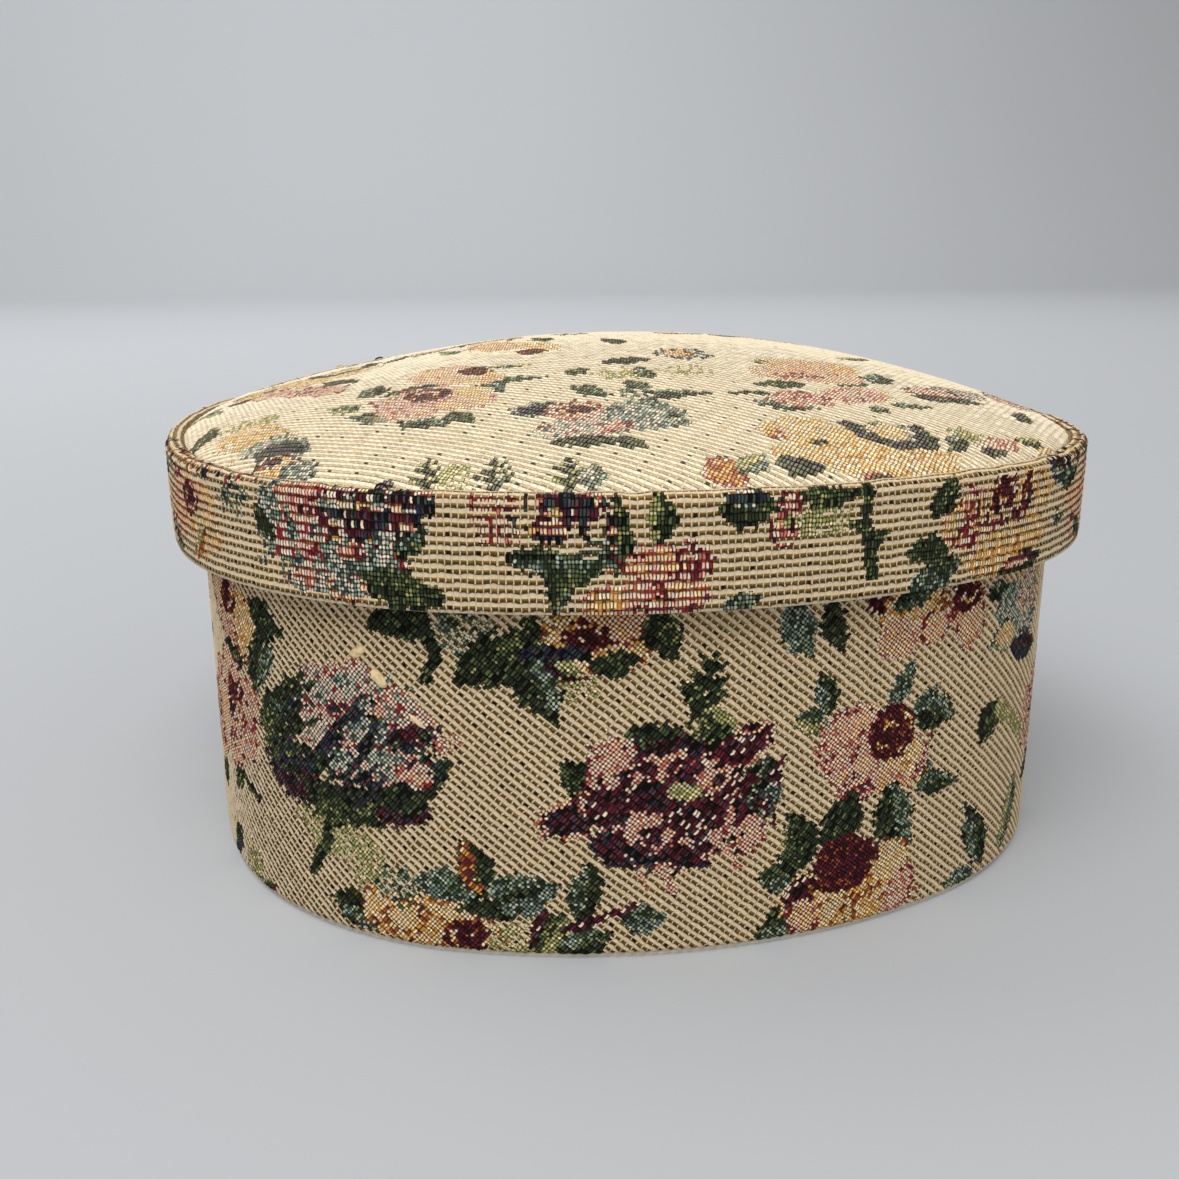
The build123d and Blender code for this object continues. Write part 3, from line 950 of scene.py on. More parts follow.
def make_mesh(name, points, corners, flip=False):
    """A smooth mesh of quads, where a repeated corner makes a triangle."""
    if flip:
        corners = corners[:, ::-1]
    keep = corners != np.roll(corners, 1, axis=1)
    count = keep.sum(1)
    mesh = bpy.data.meshes.new(name)
    mesh.vertices.add(len(points))
    mesh.vertices.foreach_set("co", (np.asarray(points) * MM).astype(np.float32).ravel())
    mesh.loops.add(int(count.sum()))
    mesh.loops.foreach_set("vertex_index", corners[keep].astype(np.int32))
    mesh.polygons.add(len(corners))
    mesh.polygons.foreach_set("loop_start", np.append(0, np.cumsum(count)[:-1]).astype(np.int32))
    mesh.update(calc_edges=True)
    mesh.polygons.foreach_set("use_smooth", np.ones(len(corners), bool))
    return placed(name, mesh), keep, corners


def add_corner_values(made, keep, corners, uv_maps, colours):
    """UV maps from vertex values, and colours from face values, on the mesh's corners."""
    mesh = made.data
    for name, values in uv_maps.items():
        layer = mesh.uv_layers.new(name=name)
        layer.data.foreach_set("uv", values[corners[keep]].astype(np.float32).ravel())
    face = np.broadcast_to(np.arange(len(corners))[:, None], corners.shape)[keep]
    for name, values in colours.items():
        layer = mesh.attributes.new(name, "FLOAT_COLOR", "CORNER")
        layer.data.foreach_set("color", values[face].astype(np.float32).ravel())


def yarn_colours(design, cell_p, cell_q, seed, depth, fine):
    """Colour of each stitch with its kind, and the colour beside it with the ground's holes.

    A fine cloth has beads in place of tufts. Depth is painted light from above: it draws the colours
    together and pales them.
    """
    half_p, half_q = np.floor(2 * cell_p).astype(int), np.floor(2 * cell_q).astype(int)
    rib, stitch = half_p // 2, half_q // 2
    faces = 256
    dice = np.random.default_rng(seed).uniform(size=(4, faces, faces))

    def throw(table, first, second):
        return dice[table, first % faces, second % faces]

    kind = np.array([mix[0] for mix in MIXES.values()])[design.mix]
    if fine:
        kind = np.where(kind == TUFTS, BEADS, kind)
    first = np.where(kind == BEADS, half_p, rib)
    second = np.where(kind == RIBS, stitch, half_q)
    sides = []
    for table, part in enumerate((2, 1)):
        luck = throw(table, first, second)
        colour = np.zeros((len(design.mix), 3))
        for number, mix in enumerate(MIXES.values()):
            here = design.mix == number
            yarns = linear([YARNS[name] for name in mix[part].split()])
            colour[here] = yarns[(luck[here] * len(yarns)).astype(int)]
        sides.append(colour)
    shade = 0.86 + 0.28 * throw(2, first, second) + 0.06 * noise(design.a, design.b, 9, seed)
    ground_shade = 0.93 + 0.12 * throw(2, first, second) + 0.05 * noise(rib * 1.0, stitch / 9, 1.0, seed)
    sides[0] *= np.where(kind == RIBS, ground_shade, shade)[:, None]
    # Painted light: here and below, depth makes the stitches brighter and paler and lightens the yarn
    # between them
    sides[0] *= np.where(kind == RIBS, 1.0, 1 + 0.7 * depth)[:, None]
    sides[1] *= (0.75 + 0.5 * throw(3, first, second))[:, None]
    sides[1] = sides[1] * (1 - depth) + sides[0] * depth
    pale = np.where(kind == RIBS, 0.0, depth * (0.3 + 0.5 * throw(3, first, second)))[:, None]
    sides[0] = sides[0] * (1 - pale) + linear(YARNS["ivory"]) * pale
    # Now and then a hole in the ground, which the shader paints dark as the shade inside it
    edge_row = np.floor(cell_p + 0.5).astype(int)
    hole = ((stitch + 2 * edge_row) % 4 == 0) & (edge_row % 2 == 0) & (kind == RIBS)
    hole = hole & (throw(3, edge_row, stitch) < 0.6)
    beside = np.column_stack([sides[1], hole * 0.85])
    return np.clip(np.column_stack([sides[0], kind]), 0, 1), np.clip(beside, 0, 1)


def weave_cloth(name, weave, limits, p_span, place, paint, packing, relief, seed,
                ground="ground", depth=0.0, fine=True):
    """A woven mesh: its lattice, its stitches' colours, its relief and its maps."""
    p = np.arange(math.floor(p_span[0]) * 2, math.ceil(p_span[1]) * 2 + 1) / 2
    low, high = limits(p)
    wide = high - low > 0.6
    p, low, high = p[wide], low[wide], high[wide]
    vertex_p, vertex_q, corners, cell_p, cell_q = lattice(p, low, high, 0.5)
    streak = noise(cell_p * 0.45, cell_q * 1.3, 1.0, seed + 9)
    rib = np.floor(cell_p).astype(int)
    design = Design(*weave.flat(cell_p, cell_q), rib, streak, seed, ground)
    paint(design)
    stitch, beside = yarn_colours(design, cell_p, cell_q, seed, depth, fine)
    touched = np.bincount(corners.ravel(), minlength=len(vertex_p))
    worked = np.bincount(corners.ravel(), np.repeat(stitch[:, 3] > RIBS, 4), minlength=len(vertex_p))
    worked = worked / np.maximum(touched, 1)
    a, b = weave.flat(vertex_p, vertex_q)
    ribs = np.where(vertex_p % 1 == 0.5, 1.0, -1.0)
    plain = ribs + 0.22 * np.where(vertex_q % 1 == 0.5, 1.0, -1.0) * (ribs > 0)
    knotted = 0.5 * ribs + 0.4 * np.random.default_rng(seed + 2).uniform(-1, 1, len(a)) + 0.3
    uneven = 0.2 * noise(vertex_p, vertex_q / 4, 1.0, seed + 3)
    lift = relief * (plain * (1 - worked) + knotted * worked + uneven)
    made, keep, corners = make_mesh(name, np.column_stack(place(a, b, lift)), corners)
    maps = {"Weave": np.column_stack([vertex_p, vertex_q]), "OFBake": packing(a, b)}
    add_corner_values(made, keep, corners, maps, {"stitch": stitch, "beside": beside})
    return made


class Value:
    """A shader value that plain arithmetic builds nodes for."""

    def __init__(self, tree, socket):
        self.tree, self.socket = tree, socket

    def math(self, operation, *others):
        node = self.tree.nodes.new("ShaderNodeMath")
        node.operation = operation
        for slot, value in enumerate((self, *others)):
            if isinstance(value, Value):
                self.tree.links.new(value.socket, node.inputs[slot])
            else:
                node.inputs[slot].default_value = value
        return Value(self.tree, node.outputs[0])

    def __add__(self, other):
        return self.math("ADD", other)

    def __sub__(self, other):
        return self.math("SUBTRACT", other)

    def __mul__(self, other):
        return self.math("MULTIPLY", other)

    def fraction(self):
        return self.math("FRACT")

    def from_middle(self):
        """0 in the middle of each unit and 1 at its ends."""
        return (self.fraction() - 0.5).math("ABSOLUTE") * 2.0

    def ease(self, low, high, start=0.0, end=1.0):
        """Smoothly from start at low to end at high."""
        node = self.tree.nodes.new("ShaderNodeMapRange")
        node.interpolation_type = "SMOOTHSTEP"
        self.tree.links.new(self.socket, node.inputs["Value"])
        for key, value in zip(("From Min", "From Max", "To Min", "To Max"), (low, high, start, end)):
            node.inputs[key].default_value = value
        return Value(self.tree, node.outputs["Result"])


class Finish:
    """A material being built, with short calls for the nodes that it uses."""

    def __init__(self, name):
        self.material = bpy.data.materials.new(name)
        self.material.use_nodes = True
        self.tree = self.material.node_tree
        self.shader = self.tree.nodes["Principled BSDF"]

    def node(self, kind, inputs=None, **settings):
        made = self.tree.nodes.new(kind)
        for key, value in settings.items():
            setattr(made, key, value)
        for key, value in (inputs or {}).items():
            self.put(made.inputs[key], value)
        return made

    def put(self, socket, value):
        if isinstance(value, Value):
            self.tree.links.new(value.socket, socket)
        elif isinstance(value, bpy.types.NodeSocket):
            self.tree.links.new(value, socket)
        else:
            socket.default_value = value

    def uv(self, name):
        """The two values of a UV map, and its vector."""
        vector = self.node("ShaderNodeUVMap", uv_map=name).outputs["UV"]
        split = self.node("ShaderNodeSeparateXYZ", {"Vector": vector})
        return Value(self.tree, split.outputs["X"]), Value(self.tree, split.outputs["Y"]), vector

    def place(self):
        """Place on the object at rest, in metres."""
        return self.node("ShaderNodeTexCoord").outputs["Object"]

    def grain(self, vector, scale, detail=2.0, stretch=None):
        """Noise from 0 to 1."""
        if stretch:
            vector = self.node("ShaderNodeMapping", {"Vector": vector, "Scale": stretch}).outputs["Vector"]
        made = self.node("ShaderNodeTexNoise", {"Vector": vector, "Scale": scale, "Detail": detail})
        return Value(self.tree, made.outputs["Fac"])

    def attribute(self, name):
        made = self.node("ShaderNodeAttribute", attribute_name=name)
        return made.outputs["Color"], Value(self.tree, made.outputs["Alpha"])

    def mix(self, share, first, second, blend="MIX"):
        """Colour from first at 0 to second at 1."""
        made = self.node("ShaderNodeMix", data_type="RGBA", blend_type=blend)
        self.put(made.inputs[0], share)
        for slot, value in ((6, first), (7, second)):
            self.put(made.inputs[slot], value)
        return made.outputs[2]

    def shade(self, colour, factor):
        """A colour made darker or lighter by a value."""
        made = self.node("ShaderNodeVectorMath", operation="SCALE")
        self.put(made.inputs[0], colour)
        self.put(made.inputs["Scale"], factor)
        return made.outputs[0]

    def bump(self, height, distance, strength=1.0):
        made = self.node("ShaderNodeBump", {"Height": height, "Distance": distance, "Strength": strength})
        self.put(self.shader.inputs["Normal"], made.outputs["Normal"])

    def set(self, **inputs):
        for key, value in inputs.items():
            self.put(self.shader.inputs[key.replace("_", " ")], value)
        return self.material


def rgba(rgb):
    return (*linear(rgb), 1.0)


def tapestry(name):
    """Ribs of yarn with thin threads across them, and tufts, beads or bars in the design."""
    m = Finish(name)
    p, q, vector = m.uv("Weave")
    p = p + (m.grain(vector, 0.55) - 0.5) * 0.44
    q = q + (m.grain(vector, 0.75) - 0.5) * 0.50
    stitch, kind = m.attribute("stitch")
    beside, hole = m.attribute("beside")
    fibre = m.grain(vector, 9.0, 3.0)
    wander = m.grain(vector, 1.1) - 0.5
    across, along = p.from_middle(), q.from_middle()
    above = (p + 0.5).fraction() - 0.5
    thread = (along + wander * 0.24).ease(0.76, 0.90)
    pale = m.shade(linear((236, 218, 184)), fibre * 0.5 + 0.72)

    # Ground: cords, the gap between them with painted shade at its foot, and now and then a hole
    cord = (across + along * along * 0.10 + wander * 0.34).ease(0.44, 0.66, 1.0, 0.0)
    # Painted highlight along each cord's crest, painted shade at its sides and where the threads cross it
    cord_painted_shading = (across * across * -0.56 + 1.14) * (along.math("POWER", 3.0) * -0.16 + 1.03)
    # A hole is painted dark: painted shade inside the opening
    hole_painted_shade = (hole * along.ease(0.35, 0.65, 1.0, 0.0)) * -1.0 + 1.0
    # Painted shade at the foot of each gap, under the cord above it, and painted light at its top
    depth = (above + wander * 0.2).ease(-0.16, 0.20, 0.36, 1.25)
    gap = m.shade(beside, hole_painted_shade * depth * (fibre * 0.6 + 0.7))
    plain = m.mix(cord, gap, m.shade(stitch, cord_painted_shading * (fibre * 0.6 + 0.70)))
    plain = m.mix(thread * (cord * -0.45 + 0.85), plain, pale)
    plain_height = cord * (across * across * -0.6 + 1.1) + thread * 0.35

    # Design: the ribs go on through it, with other yarns lying between and over them
    wide, short = (p * 2.0 + wander * 0.2).from_middle(), (q * 2.0 + wander * 0.3).from_middle()
    column = (short + (fibre - 0.5) * 0.3).ease(0.56, 0.92, 1.0, 0.0)
    tuft = (across + short * short * 0.16 + wander * 0.3).ease(0.50, 0.80, 1.0, 0.0) * column
    bead = (wide * wide + short * short).math("SQRT").ease(0.66, 1.08, 1.0, 0.0)
    bar = (across + wander * 0.4).ease(0.70, 0.88, 1.0, 0.0) * column
    is_small, is_bar = kind.math("GREATER_THAN", 0.5), kind.math("GREATER_THAN", 0.83)
    mask = tuft + (bead - tuft) * is_small + (bar - bead) * is_bar
    round_tuft, round_bead = across * across * 0.5 + short * short, wide * wide + short * short
    # Painted highlight in the middle of each stitch and painted shade towards its edges
    stitch_painted_shading = (round_tuft + (round_bead - round_tuft) * is_small * (is_bar * -1.0 + 1.0)) * -0.52 + 1.30
    # Painted shade in the yarn between the stitches, darkest where they meet
    under = m.shade(beside, (short * short * -0.45 + 1.0) * (fibre * 0.8 + 0.65))
    worked = m.mix(mask, under, m.shade(stitch, stitch_painted_shading * (fibre * 0.6 + 0.68)))
    worked_height = mask * (across * across * -0.5 + 1.0)

    is_worked = kind.math("GREATER_THAN", 0.16)
    height = plain_height + (worked_height - plain_height) * is_worked + fibre * 0.25
    m.bump(height, 0.00028, 0.85)
    return m.set(
        Base_Color=m.mix(is_worked, plain, worked), Roughness=fibre * 0.16 + 0.76,
        Specular_IOR_Level=0.05,
    )


def lining_cloth(name, rgb):
    """Fine plain cloth with a soft sheen."""
    m = Finish(name)
    u, v, vector = m.uv("Flat")
    weave = (u * 2.2).from_middle() * 0.5 + (v * 2.2).from_middle() * 0.5
    slub = m.grain(vector, 0.9, 4.0, stretch=(0.12, 1.6, 1.0))
    cloud = m.grain(m.place(), 22.0, 3.0)
    tone = weave * 0.16 + slub * 0.18 + cloud * 0.16 + 0.75
    m.bump(weave * 0.6 + slub * 0.5, 0.00010, 0.7)
    return m.set(
        Base_Color=m.shade(rgba(rgb)[:3], tone), Roughness=slub * 0.2 + 0.5,
        Specular_IOR_Level=0.35, Sheen_Weight=0.3, Sheen_Roughness=0.35,
    )


def card(name, rgb, fleck, scale=1.0):
    """Pressed board or paper with flecks and a soft fibrous face."""
    m = Finish(name)
    place = m.place()
    fibre = m.grain(place, 900.0 * scale, 5.0, stretch=(1.0, 1.0, 3.0))
    cloud = m.grain(place, 60.0 * scale, 3.0)
    specks = m.grain(place, 2200.0 * scale, 1.0).ease(0.66, 0.74)
    tone = m.shade(rgba(rgb)[:3], fibre * 0.22 + cloud * 0.20 + 0.79)
    m.bump(fibre, 0.00012, 0.6)
    return m.set(
        Base_Color=m.mix(specks * 0.6, tone, rgba(fleck)), Roughness=fibre * 0.2 + 0.74,
        Specular_IOR_Level=0.25,
    )


def wadding(name):
    """White polyester wadding."""
    m = Finish(name)
    place = m.place()
    clump = m.grain(place, 90.0, 4.0)
    hair = m.grain(place, 1400.0, 3.0)
    m.bump(clump * 0.7 + hair * 0.3, 0.0012, 0.7)
    return m.set(
        Base_Color=m.shade(rgba((236, 234, 228))[:3], clump * 0.18 + hair * 0.12 + 0.80),
        Roughness=hair * 0.1 + 0.86, Sheen_Weight=0.4, Specular_IOR_Level=0.15,
    )


# How the strips' ends lap at the back: how far one runs under the other, over what length the
# outer one rises onto it, how far it then stands out, and the length of its turned edge
lap_under = 6.0
lap_slope = 4.0
lap_lift = 0.9
lap_edge = 1.6

# Rounding of the cloths' folds
rim_fold_radius = 1.3
hem_fold_radius = 0.9
inner_fold_radius = 0.8
ring_inner_radius = 0.9

# The body's cloth: a strip cut on the bias, round the wall, turned under the base and over the rim
body_weave = Weave(rib=1.41, stitch=1.35, angle=-40.0)
body_length = perimeter(body_in)
body_turned_under = 6.0
body_turned_in = 4.0
body_middle = 40.0
body_fold = Fold(
    (
        (body_in + body_turned_under, base_level, 0),
        (body_in, base_level, hem_fold_radius),
        (body_in, body_rim, rim_fold_radius),
        (liner_in, body_rim, inner_fold_radius),
        (liner_in, body_rim - body_turned_in, 0),
    ),
    body_in, body_middle,
)
design_width = 212.0
REPEATS = ((-design_width, 0.0), (0.0, 0.0), (design_width, 0.0))


def lapped(a, length):
    """Where the strip's outer end rides over its start, and how far it then stands out."""
    to_end = length / 2 - a
    rise = np.clip(1 - (to_end - lap_under) / lap_slope, 0, 1)
    rise = lap_lift * rise * rise * (3 - 2 * rise)
    curl = np.clip((lap_edge - to_end) / lap_edge, 0, 1) * TURN / 4
    over = lap_edge * (1 - 2 / math.pi)
    return a - np.where(curl > 0, over * curl / (TURN / 4), 0), rise * np.cos(curl)


def on_body(a, b, lift):
    """Points on the body wall for places on its flat cloth."""
    moved, stand = lapped(a, body_length)
    out, level, face_out, face_up = body_fold.at(b)
    x, y, nx, ny = walk(moved, body_in)
    calm = 8
    ripple = 0.16 * noise(a, b, 26, 11) * np.clip(b / calm, 0, 1) * np.clip((body_rim - b) / calm, 0, 1)
    total = out + body_in + (lift + stand + ripple) * face_out
    return x + nx * total, y + ny * total, level + (lift + stand * 0.2) * face_up


def strip_packing(a_start, a_end, b_start, b_end, rows):
    """A map that lays a long strip out in rows, to fill a square."""
    width, height = (a_end - a_start) / rows, b_end - b_start
    margin, row_pitch = 1.01, height * 1.002
    size = max(width, height * rows) * margin

    def packed(a, b):
        t = (a - a_start) / width
        row = np.clip(np.floor(t), 0, rows - 1)
        return np.column_stack([(t - row) * width / size, (row * row_pitch + b - b_start) / size])

    return packed


def strip_cloth(name, weave, length, fold, place, paint, rows, seed, fine=True):
    """A woven strip round the box, from its lap to its outer end and from edge to edge of its fold."""
    a_span, b_span = (-length / 2 - lap_under, length / 2), (fold.b[0], fold.b[-1])
    p_all = [(a * weave.across[0] + b * weave.across[1]) / weave.rib for a in a_span for b in b_span]
    return weave_cloth(
        name, weave, lambda p: limits_of_strip(weave, p, a_span, b_span), (min(p_all), max(p_all)),
        place, paint, strip_packing(*a_span, *b_span, rows), relief=0.20, seed=seed, fine=fine,
    )


def body_cloth():
    def paint(d):
        draw(d, BODY_DESIGN, REPEATS)

    return strip_cloth("body_tapestry", body_weave, body_length, body_fold, on_body, paint, rows=2, seed=21)


# The lid ring's cloth: a straight strip round the skirt, rolled over its rim and hem
skirt_weave = Weave(rib=1.56, stitch=1.26, angle=0.0)
skirt_length = perimeter(0)
hem_turned_in = 6.0
rim_turned_in = 3.0
skirt_middle = 78.0
skirt_fold = Fold(
    (
        (cushion_in, hem_level + hem_turned_in, 0),
        (cushion_in, hem_level, inner_fold_radius),
        (0, hem_level, hem_fold_radius),
        (0, rim_level, rim_fold_radius),
        (cushion_in, rim_level, ring_inner_radius),
        (cushion_in, rim_level - rim_turned_in, 0),
    ),
    0, skirt_middle,
)


def on_skirt(a, b, lift):
    """Points on the lid's ring for places on its flat cloth."""
    moved, stand = lapped(a, skirt_length)
    out, level, face_out, face_up = skirt_fold.at(b)
    x, y, nx, ny = walk(moved, 0)
    ripple = 0.14 * noise(a, b, 22, 12)
    outside = np.clip(face_out, 0, 1)
    lift = lift * (1 - 0.5 * np.abs(face_up))
    total = out + lift * face_out + (stand + ripple) * outside
    roll = 0.18 * np.clip(face_up, 0, 1) * noise(a, b * 0, 3.2, 13)
    return x + nx * total, y + ny * total, level + lift * face_up + roll


def skirt_cloth():
    def paint(d):
        draw(d, RING_DESIGN, REPEATS)
        d.ribbed("burgundy", "straw")
        d.ribbed("navy", "mist")
        d.ribbed("plum", "rosy")
        d.ribbed("forest", "moss", -0.05)

    return strip_cloth(
        "skirt_tapestry", skirt_weave, skirt_length, skirt_fold, on_skirt, paint, rows=4, seed=31,
        fine=False,
    )


# The lid top's cloth: a round, stretched over the pad and down inside the ring
top_weave = Weave(rib=1.44, stitch=1.40, angle=-38.0)
top_spare = 6.0
top_turn_down = 3.0

# Plump and hollow places of the cushion: middle, height and spread
PLUMP_PLACES = ((-12, 40, 1.2, 2200), (54, 0, 1.5, 1500), (-60, 15, -1.1, 900))


def crown(x, y, inset, drop=0.0):
    """Level of the cushion at a point of the plan, its share of the way out and the edge's radius."""
    share, out = share_of_plan(x, y, inset)
    past = np.clip(share - 1, 0, None) * out
    s = np.clip(share, 0, 1)
    rise = edge_roll_rise * (1 - s**edge_roll_power)
    rise = rise + (crown_level - seam_level - edge_roll_rise) * (1 - s**2)
    return seam_level - drop + rise - past, share, out


def on_top(a, b, lift):
    """Points on the lid's cushion for places on its flat cloth, in plan."""
    level, share, out = crown(a, b, cushion_in)
    s = np.clip(share, 0, 1)
    squeeze = np.where(share > 1, 1 / share, 1.0)
    x, y = a * squeeze, b * squeeze
    plump = 0.0
    for middle_a, middle_b, height, spread in PLUMP_PLACES:
        plump = plump + height * np.exp(-((a - middle_a) ** 2 + (b - middle_b) ** 2) / spread)
    softness = (0.35 * noise(a, b, 34, 14) + plump) * (1 - s**4)
    pull = 0.14 * noise(np.arctan2(b, a) * 90, share * 20, 7, 15) * np.clip((share - 0.82) / 0.1, 0, 1)
    slope = 2 * (crown_level - seam_level) * s / out
    slope = slope + edge_roll_power * edge_roll_rise * s ** (edge_roll_power - 1) / out
    steep = np.where(share > 1, 1.0, slope / np.sqrt(1 + slope**2))
    r = np.hypot(x, y) + 1e-9
    flat = np.sqrt(1 - steep**2)
    inward = np.where(share > 1, 0.25, 0)
    x = x + x / r * (lift * steep - inward)
    y = y + y / r * (lift * steep - inward)
    return x, y, level + lift * flat + softness + pull


def top_cloth():
    reach_p = math.ceil((half_length + top_spare) / top_weave.rib)

    def paint(d):
        draw(d, TOP_DESIGN, ((18.0, 98.0), (-96.0, 92.0), (0.0, 0.0)))

    def packed(a, b):
        size = 2 * (half_length + 2)
        return np.column_stack([a / size + 0.5, b / size + 0.5])

    # Depth 0.30 paints light from above onto the top's colours
    return weave_cloth(
        "lid_top_tapestry", top_weave, lambda p: limits_of_round(top_weave, p, cushion_in, top_turn_down),
        (-reach_p, reach_p), on_top, paint, packed, relief=0.17, seed=41,
        ground="pale ground", depth=0.30,
    )


def dress(obj, body, node, material):
    """The piece rides on its body, stands for a node and has its slot and finish."""
    obj.data.materials.clear()
    obj.data.materials.append(material)
    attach(obj, body)
    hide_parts(node)
    return obj


def ring_strip(name, fold, inset, rows, columns, wave, seed):
    """A closed strip of lining round the plan, as a smooth grid along a fold."""
    a = np.linspace(0, perimeter(inset), columns, endpoint=False)
    b = np.linspace(fold.b[0], fold.b[-1], rows)
    grid_b, grid_a = np.meshgrid(b, a, indexing="ij")
    out, level, face_out, face_up = fold.at(grid_b)
    x, y, nx, ny = walk(grid_a, inset)
    across = TURN * grid_a / perimeter(inset)
    soft = wave * noise(np.cos(across) * 60 + 90, np.sin(across) * 60 + 90 + grid_b * 0.4, 9, seed)
    total = out + inset + soft * face_out
    points = np.stack([x + nx * total, y + ny * total, level], -1).reshape(-1, 3)
    ident = np.arange(rows * columns).reshape(rows, columns)
    after = np.roll(ident, -1, axis=1)
    corners = np.stack([ident[:-1], after[:-1], after[1:], ident[1:]], -1).reshape(-1, 4)
    made, keep, corners = make_mesh(name, points, corners)
    flat = np.stack([grid_a, grid_b], -1).reshape(-1, 2)
    add_corner_values(made, keep, corners, {"Flat": flat}, {})
    return made


def domed_mesh(name, rows, base=None, flip=False):
    """A mesh through rows of points round the plan, closed in the middle of the first, and of the
    last too where a base level is given."""
    points = np.array(rows).transpose(0, 2, 1).reshape(-1, 3)
    ident = np.arange(len(points)).reshape(len(rows), -1)
    after = np.roll(ident, -1, axis=1)
    corners = [np.stack([ident[:-1], ident[1:], after[1:], after[:-1]], -1).reshape(-1, 4)]
    top = np.full_like(ident[0], len(points))
    corners.append(np.stack([top, ident[0], after[0], after[0]], -1))
    middles = [(0.0, 0.0, float(np.mean(rows[0][2])))]
    if base is not None:
        corners.append(np.stack([ident[-1], top + 1, after[-1], after[-1]], -1))
        middles.append((0.0, 0.0, base))
    points = np.concatenate([points, middles])
    return points, make_mesh(name, points, np.concatenate(corners), flip)


def lined_plate(name, inset, level_of, edge, turn, up):
    """A round of lining over a card: its face, its rounded edge and the turn behind it."""
    shares = np.append(np.linspace(0.02, 0.94, 34), np.linspace(0.95, 1, 7))
    a = np.linspace(0, perimeter(inset), 260, endpoint=False)
    x, y, nx, ny = walk(a, inset)
    rows = []
    for share in shares:
        rows.append((x * share, y * share, level_of(x * share, y * share, share)))
    side = -1 if up else 1
    for drop, inward in ((edge * 0.5, 0.15), (edge, 0.5), (edge, turn)):
        rows.append((x - nx * inward, y - ny * inward, level_of(x, y, 1.0) + side * drop))
    points, (made, keep, corners) = domed_mesh(name, rows, flip=not up)
    add_corner_values(made, keep, corners, {"Flat": points[:, :2]}, {})
    return made


def floor_level(x, y, share):
    """The floor liner's cloth, a little soft over its card."""
    return floor_high + 0.25 * noise(x, y, 30, 51) * (1 - share**6) - 0.5 * share**30


def lid_liner_level(x, y, share):
    """The lining under the lid."""
    return lid_under - 0.22 * noise(x, y, 33, 52) * (1 - share**6) + 0.4 * share**30


def cushion_pad():
    """The wadding under the lid's cloth, crowned like it."""
    gap = 1.15
    inset = cushion_in + gap
    shares = np.append(np.linspace(0.03, 0.9, 22), np.linspace(0.92, 1, 8))
    a = np.linspace(0, perimeter(inset), 200, endpoint=False)
    x, y, nx, ny = walk(a, inset)
    low = reach("lid_card")[3] + 0.05
    rows = []
    for share in shares:
        level, _, _ = crown(x * share, y * share, inset, gap)
        rows.append((x * share, y * share, level + 0.2 * noise(x * share, y * share, 18, 53)))
    for inward, level in ((0.0, low + 0.8), (0.6, low), (12.0, low), (50.0, low)):
        rows.append((x - nx * inward, y - ny * inward, np.full_like(x, level)))
    _, (made, _, _) = domed_mesh("lid_wadding", rows, base=low)
    return made


def loose_yarn(name, rgb):
    """Plain yarn, for the ends and thick places that stand out of the cloth."""
    m = Finish(name)
    fibre = m.grain(m.place(), 1500.0, 3.0)
    m.bump(fibre, 0.0002, 0.8)
    return m.set(
        Base_Color=m.shade(linear(rgb), fibre * 0.7 + 0.65), Roughness=0.85, Specular_IOR_Level=0.05,
    )


def slub(name, place, a, b, length, angle, radius, rise, body, material):
    """A thick place or a loose loop of yarn that stands off the cloth by rise."""
    t, sides = np.linspace(-1, 1, 33), 18
    along = t * length / 2
    c, s = math.cos(math.radians(angle)), math.sin(math.radians(angle))
    middle = np.column_stack(place(a + along * c, b + along * s, rise * (1 - t * t) - 0.1))
    course = np.gradient(middle, axis=0)
    course /= np.linalg.norm(course, axis=1)[:, None]
    side = np.cross(course, (0.3, 0.2, 1.0))
    side /= np.linalg.norm(side, axis=1)[:, None]
    other = np.cross(side, course)
    rings = []
    for turn in np.linspace(0, TURN, sides + 1)[:-1]:
        twist = 1 + 0.16 * np.cos(3 * turn + t * length * 1.6)
        size = (radius * twist * np.sqrt(np.clip(1.02 - t**2, 0, 1)))[:, None]
        rings.append(middle + size * (math.cos(turn) * side + math.sin(turn) * other))
    points = np.concatenate(rings)
    count = len(t)
    corners = [
        [i + count * k, i + count * ((k + 1) % sides), i + 1 + count * ((k + 1) % sides), i + 1 + count * k]
        for k in range(sides) for i in range(count - 1)
    ]
    made, _, _ = make_mesh(name, points, np.array(corners))
    made.data.materials.append(material)
    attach(made, body)
    return made


# Cover, linings and pad
woven = tapestry("tapestry")
lining = lining_cloth("lining_cloth", (203, 180, 138))

body = dress(body_cloth(), "box", "body_fabric", woven)
skirt = dress(skirt_cloth(), "lid", "skirt_fabric", woven)
top = dress(top_cloth(), "lid", "lid_top_fabric", woven)

pale_yarn, dark_yarn = loose_yarn("pale_yarn", (226, 204, 158)), loose_yarn("dark_yarn", (46, 34, 50))
slub("slub_one", on_body, -67.0, 57.3, 3.6, 30, 0.85, 0.15, "box", pale_yarn)
slub("slub_two", on_body, -63.0, 52.8, 4.0, -48, 0.95, 0.15, "box", pale_yarn)
slub("slub_three", on_body, -56.0, 45.6, 3.4, -40, 0.5, 0.15, "box", pale_yarn)
slub("loose_loop", on_skirt, -61.5, 88.6, 2.8, 0, 0.2, 2.2, "lid", dark_yarn)
slub("loose_end_one", on_top, -62.0, 34.0, 3.2, 20, 0.2, 0.9, "lid", pale_yarn)
slub("loose_end_two", on_top, -52.0, 42.0, 2.8, -10, 0.2, 0.7, "lid", dark_yarn)

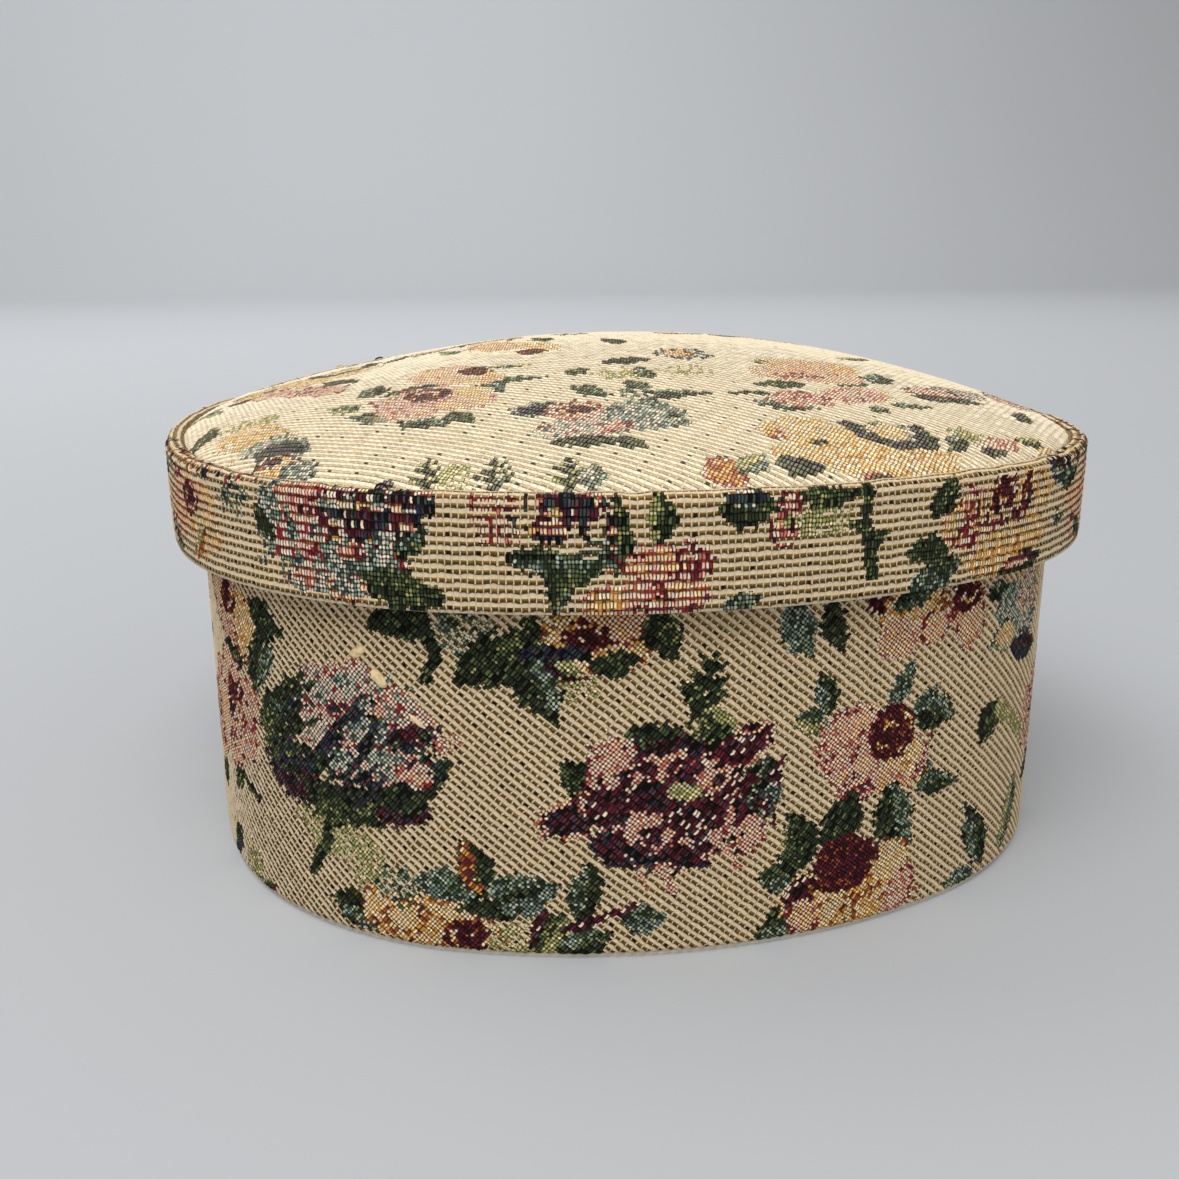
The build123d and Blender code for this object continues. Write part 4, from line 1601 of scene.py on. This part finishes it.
# The wall's lining runs up inside and over its card's top edge
over_card = liner_in + 0.1
wall_fold = Fold(
    (
        (over_card, liner_top - 1.0, 0),
        (over_card, liner_top, 0.3),
        (lining_in, liner_top, lining_thickness),
        (lining_in, floor_low + 0.2, 0),
    ),
    over_card, liner_top - 0.5,
)
wall_lining = ring_strip("wall_lining", wall_fold, lining_in, rows=60, columns=420, wave=0.16, seed=54)
dress(wall_lining, "box", "wall_liner_fabric", lining)

ring_level = reach("skirt_lining")[2]
ring_in = cushion_in + 0.5
ring_fold = Fold(
    ((cushion_in + 0.1, ring_level, 0), (ring_in, ring_level, 0.15), (ring_in, lid_under, 0)),
    ring_in, ring_level + 2,
)
ring_lining = ring_strip("ring_lining", ring_fold, ring_in, rows=14, columns=420, wave=0.0, seed=55)
dress(ring_lining, "lid", "skirt_lining", lining)

floor_cloth = lined_plate("floor_lining", floor_in, floor_level, edge=2.0, turn=8.0, up=True)
dress(floor_cloth, "box", "floor_liner_fabric", lining)
lid_cloth = lined_plate("lid_lining", lid_liner_in, lid_liner_level, edge=1.4, turn=3.0, up=False)
dress(lid_cloth, "lid", "lid_liner_fabric", lining)

pad = dress(cushion_pad(), "lid", "lid_pad", wadding("wadding"))

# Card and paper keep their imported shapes
board = card("greyboard", (150, 141, 126), (96, 88, 76))
paper = card("base_paper", (205, 196, 178), (150, 138, 116), 1.6)
for name in ("base_card", "wall_card", "wall_liner_card", "floor_liner_card", "lid_card",
             "skirt_card", "lid_liner_card", "base_cover"):
    nodes[name].data.materials.clear()
    nodes[name].data.materials.append(paper if name == "base_cover" else board)

# What each soft piece was cut to, in metres
(body_length + lap_under) * MM
(skirt_length + lap_under) * MM
perimeter(lining_in) * MM
perimeter(cushion_in) * MM


def stage():
    """A pale floor that curves up behind, soft lamps and a soft sky."""
    size, sweep, back = 6.0, 1.4, 2.6
    profile = [(-size, 0.0), (back, 0.0)]
    for t in np.linspace(0, TURN / 4, 16)[1:]:
        profile.append((back + sweep * math.sin(t), sweep * (1 - math.cos(t))))
    profile.append((back + sweep, size))
    rows = [[(x, y, z) for y, z in profile] for x in (-size, size)]
    points = np.array(rows).reshape(-1, 3) / MM
    count = len(profile)
    corners = np.array([[i, count + i, count + i + 1, i + 1] for i in range(count - 1)])
    floor, _, _ = make_mesh("floor", points, corners)
    m = Finish("floor_paint")
    cloud = m.grain(m.place(), 1.4, 2.0)
    floor.data.materials.append(
        m.set(Base_Color=m.shade(rgba((180, 183, 187))[:3], cloud * 0.03 + 0.985), Roughness=0.85)
    )
    for name, place, aim, width, power in (
        ("key", (-0.5, -0.95, 1.6), (0, 0, 0.05), 1.5, 27.0),
        ("side", (-1.0, 0.8, 1.5), (0, 0, 0.05), 1.2, 7.0),
        ("fill", (0.9, -1.3, 0.8), (0, 0, 0.05), 1.8, 2.5),
        ("back", (0, 1.2, 2.6), (0, 4.0, 1.2), 2.0, 68.0),
    ):
        light = bpy.data.lights.new(name, "AREA")
        light.size, light.energy = width, power
        lamp = placed(name, light)
        lamp.location = place
        lamp.rotation_euler = (Vector(aim) - Vector(place)).to_track_quat("-Z", "Y").to_euler()
    world = bpy.data.worlds.new("sky")
    world.use_nodes = True
    sky = world.node_tree.nodes["Background"].inputs
    sky["Color"].default_value = (1.0, 0.98, 0.95, 1.0)
    sky["Strength"].default_value = 0.52
    bpy.context.scene.world = world


def camera():
    """The photograph's viewpoint, seen from a little left of the box's own front."""
    frame_pixels, focal_pixels, sensor = 1179.0, 1251.0, 36.0
    yaw, pitch, roll = 0.2121, 0.2749, -0.0030
    place = (-0.0678, -0.2853, 0.1275)
    look = Vector((math.sin(yaw) * math.cos(pitch), math.cos(yaw) * math.cos(pitch), -math.sin(pitch)))
    right = Vector((math.cos(yaw), -math.sin(yaw), 0))
    up = right.cross(look)
    right, up = (math.cos(roll) * right + math.sin(roll) * up,
                 math.cos(roll) * up - math.sin(roll) * right)
    data = bpy.data.cameras.new("camera")
    data.sensor_width = sensor
    data.lens = sensor * focal_pixels / frame_pixels
    data.clip_start = 0.01
    made = placed("camera", data)
    made.matrix_world = Matrix.Translation(place) @ Matrix((right, up, -look)).transposed().to_4x4()
    bpy.context.scene.camera = made


stage()
camera()
bpy.context.scene.view_settings.view_transform = "Standard"
